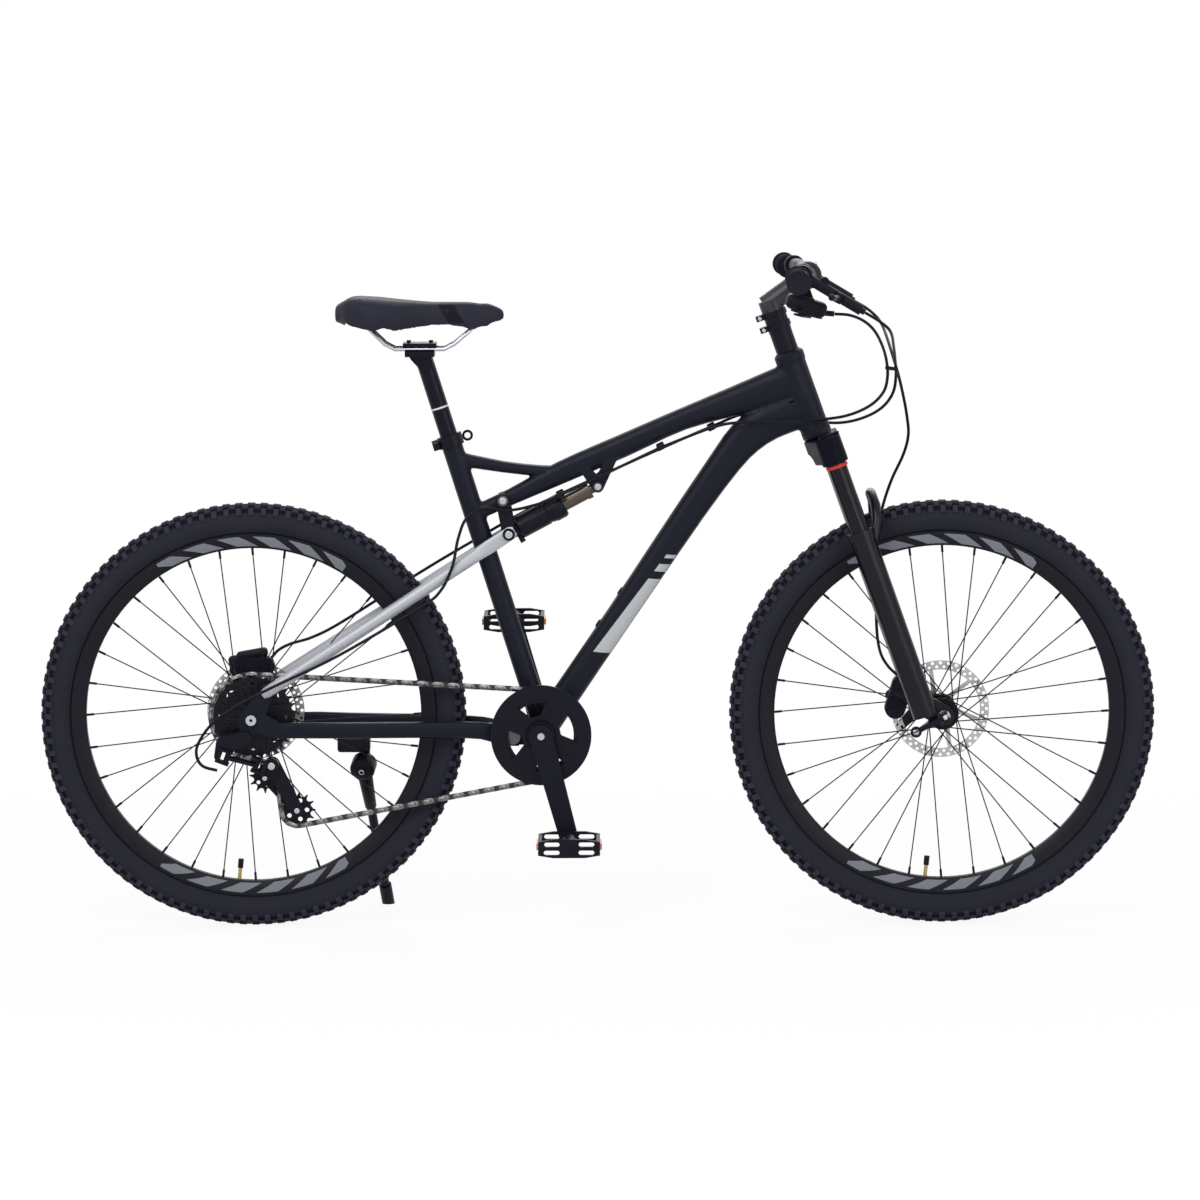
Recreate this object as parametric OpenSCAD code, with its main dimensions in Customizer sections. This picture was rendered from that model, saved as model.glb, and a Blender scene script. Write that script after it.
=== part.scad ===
// Full-suspension mountain bike, one part made of its separate pieces.
// The front points to +X, the drive side faces -Y, and the ground is z = 0.
// The origin lies on the ground, midway between the two axles.

/* [Wheels] */
// Distance between the two axles
wheelbase = 1126; // [1100:1:1160]
// Radius of the tyres over their knobs
tyre_r = 348; // [344:1:352]
// Width of the tyres
tyre_w = 53; // [50:1:56]
// Height of the tread knobs
knob_h = 3.6; // [3:0.1:4.5]
// Number of knobs round each tread
knob_count = 48; // [40:4:60]
// Radius of the rims at their outer edge
rim_r = 298; // [295:1:300]
// Depth of the rim section
rim_depth = 24; // [20:1:28]
// Width of the rims
rim_w = 28; // [26:1:30]
// Spokes in each wheel
spoke_count = 32; // [32:16:32]
// Diameter of the spokes
spoke_d = 2; // [1.8:0.1:2.3]
// Width of the front hub between the fork ends
front_hub_w = 100; // [98:1:102]
// Width of the rear hub between the dropouts
rear_hub_w = 135; // [133:1:138]
// Diameter of the brake rotors
rotor_d = 160; // [154:1:166]
// Thickness of the brake rotors
rotor_t = 1.8; // [1.6:0.1:2.2]

/* [Frame] */
// Height of the axles above the bottom bracket
bb_drop = 29.5; // [20:0.5:38]
// Level distance from the rear axle to the bottom bracket
rear_centre = 470.5; // [465:0.5:480]
// Lean of the seat tube from upright
seat_tilt = 17.5; // [16:0.5:19]
// Length of the seat tube
seat_tube_len = 507; // [495:1:530]
// Outer diameter of the seat tube
seat_tube_d = 34; // [33:0.5:36]
// Diameter of the seat post
post_d = 28.6; // [27.2:0.1:30]
// Lean of the steering axis from upright
head_tilt = 19.5; // [18.5:0.1:20.5]
// Length of the head tube
head_len = 126; // [118:1:132]
// Outer diameter of the head tube
head_d = 46; // [44:0.5:50]
// Width of the bottom bracket shell
bb_w = 73; // [70:1:75]
// Outer diameter of the bottom bracket shell
bb_d = 44; // [42:0.5:48]

/* [Fork] */
// Length from the axle to the crown, along the steering axis
fork_len = 492; // [486:1:500]
// Distance of the axle ahead of the steering axis
rake = 40; // [36:0.5:44]
// Distance of the legs ahead of the steering axis
leg_lead = 12; // [8:0.5:16]
// Distance between the two legs
leg_gap = 130; // [126:1:136]
// Diameter of the stanchions
stanchion_d = 32; // [30:0.5:34]
// Outer diameter of the lower legs
lower_d = 40; // [39:0.5:43]
// Height of the lower legs above the axle
lower_len = 331; // [326:1:334]
// Diameter of the steerer
steerer_d = 28.6; // [27:0.1:29]

/* [Suspension] */
// Distance of the main pivot behind the bottom bracket
pivot_back = 47; // [45:0.5:50]
// Distance of the main pivot below the bottom bracket
pivot_drop = 4.5; // [2:0.5:8]
// Length of the rocker between its pivots
rocker_len = 55.3; // [54:0.1:57]
// Length of the shock between its eyes
shock_len = 164; // [162:0.5:167]
// Diameter of the shock's air can
can_d = 38; // [36:0.5:41]
// Diameter of the shock's shaft
shaft_d = 24; // [22:0.5:25]
// Diameter of the seat stays
stay_d = 20; // [18:0.5:22]

/* [Drivetrain] */
// Teeth of the chainring
ring_teeth = 36; // [36:2:36]
// Length of the cranks between centres
crank_len = 175; // [170:0.5:180]
// Turn of the right crank ahead of straight down
crank_turn = 15; // [0:1:30]
// Distance of the chainring from the middle plane
chainline = 48; // [47:0.5:49]
// Distance of the largest cog from the middle plane
cog_line = 27; // [26:0.5:28]
// Spacing of the cogs
cog_step = 4.8; // [4.6:0.1:5]
// Radius of the chain guard
guard_r = 82; // [80:0.5:86]

/* [Cockpit] */
// Width of the handlebar
bar_w = 680; // [660:5:720]
// Diameter of the handlebar at the grips
bar_d = 22.2; // [21:0.1:23]
// Reach of the stem ahead of the steering axis
stem_reach = 72; // [65:1:80]
// Diameter of the grips
grip_d = 34; // [31:0.5:37]
// Length of the grips
grip_len = 125; // [115:1:135]
// Length of the saddle
saddle_len = 277; // [265:1:290]
// Width of the saddle
saddle_w = 150; // [140:1:165]

/* [Hidden] */
$fn = 48;

// Colours
paint = [0.09, 0.1, 0.12];
black = [0.08, 0.08, 0.09];
rubber = [0.06, 0.06, 0.07];
silver = [0.72, 0.74, 0.77];
steel = [0.4, 0.4, 0.41];
bronze = [0.42, 0.38, 0.33];
red = [0.7, 0.1, 0.1];
amber = [0.9, 0.45, 0.1];

// Clearances
weld = 0.05;
run = 0.06;
gap = 0.4;

// Plan points in [x, z]
front_axle = [wheelbase / 2, tyre_r];
rear_axle_at = [-wheelbase / 2, tyre_r];
bb = [rear_axle_at[0] + rear_centre, tyre_r - bb_drop];
main_pivot = bb + [-pivot_back, -pivot_drop];
rocker_pivot = bb + [-60.5, 380.5];
rocker_lean = 9.9;
shock_rise = 27.8;
shock_foot = rocker_pivot + rocker_len * [sin(rocker_lean), -cos(rocker_lean)];
shock_head = shock_foot + shock_len * [cos(shock_rise), sin(shock_rise)];
stay_pivot = rear_axle_at + [26, 45];
seat_lead = 5;

// Heights along the steering axis, from the level of the axle
crown_h = 40;
crown_low = fork_len - crown_h;
cup_h = 14;
head_low = fork_len + cup_h;
head_high = head_low + head_len;
head_mid = head_low + head_len / 2;
spacer_low = head_high + 10 + gap;
stem_low = spacer_low + 34;
stem_h = 46;
bar_at = [stem_reach, stem_low + 71];

function lerp(a, b, t) = a + (b - a) * t;
function unit(v) = v / norm(v);
function turned(v, a) = [v[0] * cos(a) - v[1] * sin(a), v[0] * sin(a) + v[1] * cos(a)];
function heading(v) = atan2(v[1], v[0]);
function steer_at(x, z) = front_axle + turned([x - rake, z], head_tilt);
function seat_at(x, z) = bb + [seat_lead, 0] + turned([x, z], seat_tilt);

module on_steering() {
  translate([front_axle[0], 0, front_axle[1]])
    rotate([0, -head_tilt, 0])
      translate([-rake, 0, 0])
        children();
}

module on_seat() {
  translate([bb[0] + seat_lead, 0, bb[1]])
    rotate([0, -seat_tilt, 0])
      children();
}

module on_axle(p) {
  translate([p[0], 0, p[1]])
    rotate([-90, 0, 0])
      children();
}

module both_sides() {
  children();
  mirror([0, 1, 0])
    children();
}

// A plan outline made solid between two distances from the middle plane
module slab(y0, y1) {
  translate([0, y1, 0])
    rotate([90, 0, 0])
      linear_extrude(height = y1 - y0)
        children();
}

module pin(p, d, y0, y1) {
  translate([p[0], y1, p[1]])
    rotate([90, 0, 0])
      cylinder(d = d, h = y1 - y0);
}

module along(a, b) {
  v = b - a;
  translate(a)
    rotate([0, acos(v[2] / norm(v)), atan2(v[1], v[0])])
      children();
}

module rod(a, b, d) {
  along(a, b)
    cylinder(d = d, h = norm(b - a));
}

// Outline of a bar with two round ends
module link_2d(a, ra, b, rb) {
  l = norm(b - a);
  t = heading(b - a);
  s = acos((ra - rb) / l);
  polygon([
    for (e = [[a, ra, s], [b, rb, s], [b, rb, -s], [a, ra, -s]])
      e[0] + e[1] * [cos(t + e[2]), sin(t + e[2])]
  ]);
  translate(a)
    circle(r = ra);
  translate(b)
    circle(r = rb);
}

// The side of a plane through p that lies to the left of a heading
module left_of(p, a, size = 260) {
  translate([p[0], 0, p[1]])
    rotate([0, -a, 0])
      translate([-size, -size, 0])
        cube([2 * size, 2 * size, size]);
}

// A solid skin over rings of points
module skin(rings) {
  n = len(rings[0]);
  m = len(rings);
  sides = [
    for (i = [0 : m - 2], j = [0 : n - 1])
      let (a = i * n + j, b = i * n + (j + 1) % n)
        each [[a, b + n, b], [a, a + n, b + n]]
  ];
  low = [for (j = [1 : n - 2]) [0, j, j + 1]];
  high = [for (j = [1 : n - 2]) [0, j + 1, j] + (m - 1) * n * [1, 1, 1]];
  polyhedron(points = [for (r = rings) each r], faces = concat(sides, low, high));
}

function bulge(v, power) = sign(v) * pow(abs(v), power);

// A ring round p, square to t, of a width across and a depth in the plane of the frame
function ring(p, t, width, depth, power, n) =
  let (u = unit([0, 1, 0] - t * t[1]), v = cross(t, u))
    [
      for (j = [0 : n - 1])
        let (a = 360 * j / n)
          p + u * bulge(cos(a), power) * width / 2 + v * bulge(sin(a), power) * depth / 2
    ];

// A tube through stations of [x, y, z, width, depth]
module tube(stations, power = 0.8, n = 18) {
  m = len(stations);
  at = [for (s = stations) [s[0], s[1], s[2]]];
  skin([
    for (i = [0 : m - 1])
      let (t = unit(at[min(i + 1, m - 1)] - at[max(i - 1, 0)]))
        ring(at[i], t, stations[i][3], stations[i][4], power, n)
  ]);
}

// Smooth stations through a few chosen ones
function between(p, q, r, s, t) =
  0.5 * (2 * q + (r - p) * t + (2 * p - 5 * q + 4 * r - s) * t * t
    + (3 * q - p - 3 * r + s) * t * t * t);
function smooth(p, steps) =
  let (m = len(p))
    [
      for (i = [0 : m - 2], k = [0 : steps - 1])
        between(p[max(i - 1, 0)], p[i], p[i + 1], p[min(i + 2, m - 1)], k / steps),
      p[m - 1]
    ];

// A cord along its route, with rings that keep their turn from one point to the next
function frames(t, i, u) =
  let (w = unit(u - t[i] * (u * t[i])))
    i == len(t) - 1 ? [w] : concat([w], frames(t, i + 1, w));
module cord(route, d, n = 8) {
  m = len(route);
  t = [for (i = [0 : m - 1]) unit(route[min(i + 1, m - 1)] - route[max(i - 1, 0)])];
  u = frames(t, 0, [0.31, 0.2, 0.93]);
  skin([
    for (i = [0 : m - 1])
      [
        for (j = [0 : n - 1])
          let (a = 360 * j / n)
            route[i] + d / 2 * (u[i] * cos(a) + cross(t[i], u[i]) * sin(a))
      ]
  ]);
}

// Front triangle

function plan(p, width, depth) = [p[0], 0, p[1], width, depth];

tt_front = steer_at(0, head_high - 33);
tt_rear = rocker_pivot + [14, 5];
tt_end = seat_at(0, 375);
tt_stations = [
  plan(tt_front - [0, 5], 40, 62),
  plan(lerp(tt_front, tt_rear, 0.18), 39, 51),
  plan(lerp(tt_front, tt_rear, 0.4) + [0, 8], 38, 36),
  plan(lerp(tt_front, tt_rear, 0.6) + [0, 6], 38, 38),
  plan(lerp(tt_front, tt_rear, 0.82) + [0, 5], 35, 37),
  plan(tt_rear, 29, 27),
  plan(tt_end, 29, 26)
];
dt_bend = steer_at(-186, head_low - 21);
dt_end = steer_at(0, head_low + 34);
dt_stations = [
  plan(bb, 50, 46),
  plan(lerp(bb, dt_bend, 0.45), 46, 44.5),
  plan(dt_bend, 44, 50),
  plan(lerp(dt_bend, dt_end, 0.47) + [-2, 30], 42, 62),
  plan(dt_end + [0, 3], 40, 58)
];
strut_foot = seat_at(0, 470);
strut_end = lerp(tt_front, tt_rear, 0.8);
strut_stations = [
  plan(strut_foot, 28, 24),
  plan(lerp(strut_foot, strut_end, 0.42) + [0, -4], 27, 19),
  plan(lerp(strut_foot, strut_end, 0.75) + [0, -3], 28, 19),
  plan(strut_end, 29, 22)
];
yoke_in = 12.4;
yoke_out = 17.4;
rocker_axle_d = 12;

module head_cut() {
  on_steering()
    translate([0, 0, head_low - 40]) {
      cylinder(d = head_d + 2 * weld, h = head_len + 80);
      cylinder(d = head_d + 3.2 + 2 * weld, h = 52);
      translate([0, 0, head_len + 28])
        cylinder(d = head_d + 3.2 + 2 * weld, h = 52);
    }
}

module seat_cut() {
  on_seat()
    cylinder(d = seat_tube_d + 2 * weld, h = seat_tube_len + 30);
}

module head_tube() {
  wall = 5;
  bore = steerer_d / 2 + 3;
  color(paint)
    on_steering() {
      translate([0, 0, head_low])
        rotate_extrude()
          polygon([
            [bore, 0], [head_d / 2 + 1.6, 0], [head_d / 2 + 1.6, 7], [head_d / 2, 12],
            [head_d / 2, head_len - 12], [head_d / 2 + 1.6, head_len - 7],
            [head_d / 2 + 1.6, head_len], [bore, head_len]
          ]);
      // Bearing cups, the lower one straight and the upper one domed
      translate([0, 0, fork_len + gap])
        rotate_extrude()
          polygon([
            [steerer_d / 2 + gap, 0], [head_d / 2 - 1, 0], [head_d / 2 + 1.6, 4],
            [head_d / 2 + 1.6, cup_h - gap], [steerer_d / 2 + gap, cup_h - gap]
          ]);
      translate([0, 0, head_high])
        rotate_extrude()
          polygon([
            [steerer_d / 2 + gap, 0], [head_d / 2 + 1.6, 0], [head_d / 2 + 1.6, wall],
            [head_d / 2 - 4, 10], [steerer_d / 2 + gap, 10]
          ]);
    }
}

module top_tube() {
  legs = [[-25, 33], [29, 55]];
  color(paint)
    difference() {
      union() {
        tube(smooth(tt_stations, 3));
        tube(smooth(strut_stations, 2), 0.85, 14);
        both_sides()
          slab(yoke_in, yoke_out)
            for (leg = legs)
              link_2d(shock_head, 10, shock_head + leg, 7);
      }
      head_cut();
      seat_cut();
      // The down tube takes over below the middle of the head tube
      on_steering()
        translate([-130, -60, head_mid - 60 + weld])
          cube([190, 120, 60]);
      pin(rocker_pivot, rocker_axle_d + 2 * weld, -60, 60);
      pin(shock_head, 8 + 2 * weld, -60, 60);
    }
}

boss_at = [199, 263];

module boss_frame(p) {
  translate([p[0], 0, p[1]])
    rotate([0, 90 - heading(turned(dt_bend - bb, 90)), 0])
      children();
}

module down_tube() {
  split = (heading(dt_bend - bb) + 90 + seat_tilt) / 2;
  way = unit(dt_bend - bb);
  up = turned(way, 90);
  color(paint)
    difference() {
      union() {
        tube(smooth(dt_stations, 4), 0.75);
        for (d = boss_at)
          boss_frame(bb + way * d + up * 10)
            cylinder(d = 13, h = 14.5);
      }
      // Threaded holes for a bottle cage
      for (d = boss_at)
        boss_frame(bb + way * d + up * 12.5)
          cylinder(d = 5, h = 20);
      head_cut();
      on_steering()
        translate([-130, -60, head_mid - weld])
          cube([190, 120, 90]);
      left_of(bb, split - weld);
      pin(bb, bb_d + 2 * weld, -60, 60);
    }
}

module seat_tube() {
  split = (heading(dt_bend - bb) + 90 + seat_tilt) / 2;
  post_depth = 260;
  color(paint)
    difference() {
      on_seat()
        difference() {
          cylinder(d = seat_tube_d, h = seat_tube_len);
          translate([0, 0, seat_tube_len - post_depth])
            cylinder(d = post_d + 2 * run, h = post_depth + 1);
        }
      left_of(bb, split + 180);
      pin(bb, bb_d + 2 * weld, -60, 60);
      slab(-lug_w / 2 - weld, lug_w / 2 + weld)
        link_2d(bb, bb_d / 2, main_pivot, 15 + weld);
    }
}

lug_w = 50;
pivot_d = 15;
spindle_d = 20;

module bottom_bracket() {
  cup_d = 34;
  color(paint) {
    difference() {
      union() {
        slab(-lug_w / 2, lug_w / 2)
          link_2d(bb, bb_d / 2 - 3, main_pivot, 15);
        pin(bb, bb_d, -bb_w / 2, bb_w / 2);
      }
      pin(bb, cup_d, -bb_w, bb_w);
      pin(main_pivot, pivot_d + 2 * weld, -bb_w, bb_w);
    }
    // Bearing cups, one from each side
    both_sides()
      difference() {
        union() {
          pin(bb, cup_d - 2 * weld, bb_w / 2 - 18, bb_w / 2);
          pin(bb, bb_d - 3, bb_w / 2, bb_w / 2 + 3);
        }
        pin(bb, spindle_d + 2 * run, 0, bb_w);
      }
  }
}

clamp_h = 16;
skewer_x = -24;
skewer_d = 5;

module seat_clamp() {
  color(black)
    on_seat()
      difference() {
        union() {
          translate([0, 0, seat_tube_len - clamp_h])
            cylinder(d = seat_tube_d + 7, h = clamp_h + 3);
          translate([-30, -7, seat_tube_len - clamp_h + 1])
            cube([18, 14, clamp_h - 3]);
        }
        translate([0, 0, seat_tube_len - clamp_h - 1])
          cylinder(d = seat_tube_d + 2 * weld, h = clamp_h + 1 + weld);
        cylinder(d = post_d + 2 * run, h = seat_tube_len + clamp_h);
        // The slot behind the post, which the lever draws shut
        translate([-40, -1, seat_tube_len - clamp_h - 1])
          cube([30, 2, clamp_h + 6]);
        translate([skewer_x, 0, seat_tube_len - clamp_h / 2])
          rotate([90, 0, 0])
            cylinder(d = skewer_d + 2 * run, h = 60, center = true);
      }
  // Skewer with its nut on the right
  color(silver)
    on_seat()
      translate([skewer_x, clamp_cam_y, seat_tube_len - clamp_h / 2]) {
        cam_eye(clamp_cam_y + 14, skewer_d);
        translate([0, -clamp_cam_y - 14, 0])
          rotate([-90, 0, 0])
            cylinder(d = 10, h = 7 - weld);
      }
}

cam_pin_d = 5;
cam_w = 16;
eye_t = 7;

// The eye at the end of a skewer, with the cross pin of its cam lever
module cam_eye(neck, d) {
  translate([0, -neck, 0])
    rotate([-90, 0, 0])
      cylinder(d = d, h = neck);
  translate([0, 0, -eye_t / 2])
    cylinder(d = 9, h = eye_t);
  translate([0, 0, -cam_w / 2])
    cylinder(d = cam_pin_d, h = cam_w);
}

// A cam lever along x that flips outwards about its pin, with an open loop at its end
module cam_lever(reach) {
  difference() {
    union() {
      translate([0, 0, -cam_w / 2])
        cylinder(d = 15, h = cam_w);
      translate([0, -2, -4])
        cube([reach, 5, 8]);
      translate([reach, 0.5, 0])
        rotate([90, 0, 0])
          cylinder(d = 18, h = 5, center = true);
    }
    translate([-20, -20, -eye_t / 2 - gap])
      cube([25, 40, eye_t + 2 * gap]);
    cylinder(d = cam_pin_d + 2 * run, h = 40, center = true);
    translate([reach, 0, 0])
      rotate([90, 0, 0])
        cylinder(d = 10, h = 20, center = true);
  }
}

clamp_cam_y = 24;

module seat_clamp_lever() {
  color(black)
    on_seat()
      translate([skewer_x, clamp_cam_y, seat_tube_len - clamp_h / 2])
        cam_lever(52);
}

rocker_in = 15.6;
rocker_out = 21.6;
stay_in = 22.4;
stay_out = 28.4;

module pivot_bolts() {
  arm_out = lug_w / 2 + 12.4;
  color(silver) {
    // Main pivot axle with its two heads
    pin(main_pivot, pivot_d, -arm_out, arm_out);
    both_sides()
      pin(main_pivot, 26, arm_out + gap, arm_out + 3);
    both_sides()
      pin(main_pivot, pivot_d, arm_out - 1, arm_out + 1);
    // Rocker axle through the top tube
    pin(rocker_pivot, rocker_axle_d, -rocker_out - gap, rocker_out + gap);
    both_sides()
      pin(rocker_pivot, 17, rocker_out + gap, rocker_out + 3);
    // Bolt of the shock's upper eye
    pin(shock_head, 8, -yoke_out - 1, yoke_out + 1);
    both_sides()
      pin(shock_head, 14, yoke_out, yoke_out + 3.5);
  }
}

// Seat and post

post_out = 135;
post_in = 180;
saddle_at = seat_at(0, seat_tube_len + post_out) + [-6, 18];

module seatpost() {
  cradle = [saddle_at[0], saddle_at[1] - 10];
  color(rubber) {
    difference() {
      union() {
        on_seat()
          translate([0, 0, seat_tube_len - post_in])
            cylinder(d = post_d, h = post_in + post_out);
        // The cast head leans back under the rails
        slab(-17, 17)
          link_2d(seat_at(0, seat_tube_len + post_out - 8), 13, cradle + [-6, -3], 11);
        slab(-28, 28)
          translate(cradle + [-24, -5])
            square([48, 9]);
      }
      slab(-40, 40)
        translate(cradle + [-40, 4])
          square([80, 30]);
    }
    // Upper clamp plate with its ribbed bolts
    slab(-28, 28)
      translate(cradle + [-27, 11.2])
        square([54, 6]);
    for (x = [-18, 18])
      translate([cradle[0] + x, 0, cradle[1] + 4.2])
        cylinder(d = 7, h = 17);
  }
}

rail_d = 7;

// Half width, top height and depth along the saddle, from tail to nose
saddle_cuts = [
  [0, 0.15, 35, 14], [0.06, 0.34, 47, 28], [0.16, 0.48, 57.5, 42], [0.26, 0.5, 56.5, 48],
  [0.36, 0.44, 54, 52.5], [0.47, 0.3, 51, 44], [0.57, 0.22, 48.7, 36], [0.68, 0.175, 48.3, 35.5],
  [0.8, 0.15, 48, 43], [0.9, 0.13, 43.5, 38], [0.965, 0.09, 36.5, 21], [1, 0.03, 31, 8]
];
saddle_low = saddle_at[1] + 24;
saddle_back = saddle_at[0] - 0.5 * saddle_len;

// The saddle's form, or a share of it sunk below the top
module saddle_loft(cuts, share, sink, tall) {
  n = 20;
  skin([
    for (c = cuts)
      let (half = c[1] * saddle_w * share, tall = tall ? tall : c[3] - sink)
        [
          for (j = [0 : n - 1])
            let (a = 360 * j / n, s = sin(a))
              [
                saddle_back + c[0] * saddle_len,
                half * bulge(cos(a), 0.7) * (s < 0 ? 1 + 0.25 * s : 1),
                saddle_low + c[2] - sink + tall / 2 * (bulge(s, 0.75) - 1)
                  - (s > 0.9 ? 3.5 * (1 - c[0]) : 0)
              ]
        ]
  ]);
}

module saddle_base() {
  z = saddle_at[1] - 2.4;
  x = saddle_at[0];
  rail = [
    [x - 96, 16, z + 57], [x - 82, 20, z + 33], [x - 56, 22, z + 8], [x - 40, 22, z],
    [x + 40, 22, z], [x + 56, 19, z + 8], [x + 80, 8, z + 28], [x + 96, 4, z + 44]
  ];
  color(silver)
    both_sides()
      cord(rail, rail_d, 10);
  color(rubber)
    saddle_loft([for (i = [2 : len(saddle_cuts) - 3]) saddle_cuts[i]], 0.5, 16.9, 8);
}

module saddle_pad() {
  color(rubber)
    difference() {
      saddle_loft(saddle_cuts, 1, 0);
      saddle_loft([for (i = [1 : len(saddle_cuts) - 2]) saddle_cuts[i]], 0.84, 13.7, 48);
    }
}

// Fork and cockpit

leg_x = leg_lead;
leg_y = leg_gap / 2;

module fork_crown() {
  socket_d = stanchion_d + 11;
  arch_r = 26;
  color(black)
    on_steering()
      difference() {
        union() {
          translate([0, 0, crown_low])
            linear_extrude(height = crown_h) {
              for (s = [-1, 1])
                link_2d([0, 0], 25, [leg_x, s * leg_y], socket_d / 2);
            }
          for (s = [-1, 1])
            translate([leg_x, s * leg_y, crown_low - 4])
              cylinder(d = socket_d, h = crown_h + 2);
          translate([0, 0, fork_len - 1])
            cylinder(d = steerer_d, h = stem_low + stem_h - fork_len - 6);
          // Lockout dial on the right leg
          translate([leg_x, -leg_y, fork_len - 2])
            cylinder(d = 26, h = 8);
          translate([leg_x + 4, -leg_y - 4, fork_len + 1])
            cube([18, 8, 4]);
        }
        for (s = [-1, 1])
          translate([leg_x, s * leg_y, crown_low - 10])
            cylinder(d = stanchion_d + 2 * weld, h = crown_h);
        // The underside is arched over the tyre
        translate([0, 0, crown_low - 8])
          rotate([0, 90, 0])
            cylinder(r = arch_r, h = 200, center = true);
        translate([0, 0, crown_low - 20])
          cylinder(d = steerer_d - 6, h = stem_low);
      }
}

module stanchions() {
  color(silver)
    on_steering()
      for (s = [-1, 1])
        translate([leg_x, s * leg_y, 140])
          cylinder(d = stanchion_d, h = crown_low + crown_h - 150.2);
  // Travel ring on the right stanchion
  color(red)
    on_steering()
      translate([leg_x, -leg_y, crown_low - 11])
        difference() {
          cylinder(d = stanchion_d + 4, h = 5);
          translate([0, 0, -1])
            cylinder(d = stanchion_d + 2 * weld, h = 7);
        }
}

dropout_t = 11;
fork_in = front_hub_w / 2;

module fork_lowers() {
  leg_foot = 11;
  color(paint)
    on_steering() {
      for (s = [-1, 1])
        difference() {
          union() {
            translate([leg_x, s * leg_y, leg_foot])
              cylinder(d = lower_d + 1, h = lower_len - leg_foot);
            // Seal head at the top of the leg
            translate([leg_x, s * leg_y, lower_len - 14])
              cylinder(d = lower_d + 4, h = 14);
            // Fork end, which holds the axle ahead of the leg
            translate([0, s > 0 ? fork_in + dropout_t : -fork_in, 0])
              rotate([90, 0, 0])
                linear_extrude(height = dropout_t)
                  link_2d([leg_x, 30], 18, [rake, 0], 17);
            // Tabs for the brake caliper on the left leg
            if (s > 0)
              translate([0, fork_in + 2, 0])
                rotate([90, 0, 0])
                  linear_extrude(height = 7) {
                    link_2d([leg_x, 62], 9, [leg_x - 42, 48], 8);
                    link_2d([leg_x, 16], 9, [leg_x - 42, -6], 8);
                  }
          }
          translate([leg_x, s * leg_y, 30])
            cylinder(d = stanchion_d + 2 * run, h = lower_len);
          translate([rake, 0, 0])
            rotate([90, 0, 0])
              cylinder(d = 5.4, h = 200, center = true);
          // Room between the legs for the hub
          translate([rake, 0, 0])
            rotate([90, 0, 0])
              cylinder(d = 64, h = 2 * fork_in - 1.2, center = true);
        }
      difference() {
        fork_brace();
        for (s = [-1, 1])
          translate([leg_x, s * leg_y, 0])
            cylinder(d = stanchion_d + 5, h = 700);
      }
    }
}

// Arched brace between the lower legs, ahead of the tyre
module fork_brace() {
  x = leg_x + 38;
  half = [
    [x, 0, lower_len + 47], [x, 22, lower_len + 45], [x, 44, lower_len + 30],
    [x - 6, leg_y - 8, lower_len + 6], [leg_x + 10, leg_y, lower_len - 34]
  ];
  cord(concat([for (k = [4 : -1 : 1]) flip(half[k])], half), 17, 12);
}

front_rotor_y = 34;
rear_rotor_y = 51;

// The half shells of a caliper are joined by a bridge beyond the rotor's edge
module caliper(axle, mid_turn, y0, y1, rotor_y) {
  r = rotor_d / 2;
  translate([axle[0], 0, axle[1]])
    rotate([0, -mid_turn, 0])
      difference() {
        union() {
          slab(y0, y1)
            link_2d([r - 8, -20], 17, [r - 8, 20], 17);
          // Piston cap and the seat of the hose on the inner face
          pin([r - 10, 0], 26, y0 - 2.4, y0 + 1);
          pin([r - 2, 26], 12, y0 - 3, y0 + 1);
        }
        slab(rotor_y - 1.4, rotor_y + rotor_t + 1.4)
          translate([r - 60, -60])
            square([60 + 1.6, 120]);
      }
}

module front_caliper() {
  color(black)
    difference() {
      caliper(front_axle, 163, 23, fork_in - 5 - weld, front_rotor_y);
      on_steering()
        translate([leg_x, leg_y, 0])
          cylinder(d = lower_d + 1.2, h = 90);
    }
}

cam_out = fork_in + dropout_t + 19;
qr_turn = 207;

module front_skewer() {
  out = fork_in + dropout_t;
  color(steel) {
    on_axle(front_axle) {
      translate([0, 0, -out - 8])
        cylinder(d = 5, h = 2 * out + 16);
      translate([0, 0, out + weld])
        cylinder(d = 18, h = 9);
      translate([0, 0, -out - 9])
        cylinder(d = 20, h = 9 - weld);
    }
    translate([front_axle[0], -cam_out, front_axle[1]])
      rotate([0, -qr_turn, 0])
        mirror([0, 1, 0])
          cam_eye(14, 6);
  }
}

module front_qr_lever() {
  color(black)
    translate([front_axle[0], -cam_out, front_axle[1]])
      rotate([0, -qr_turn, 0])
        mirror([0, 1, 0])
          cam_lever(52);
}

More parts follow.
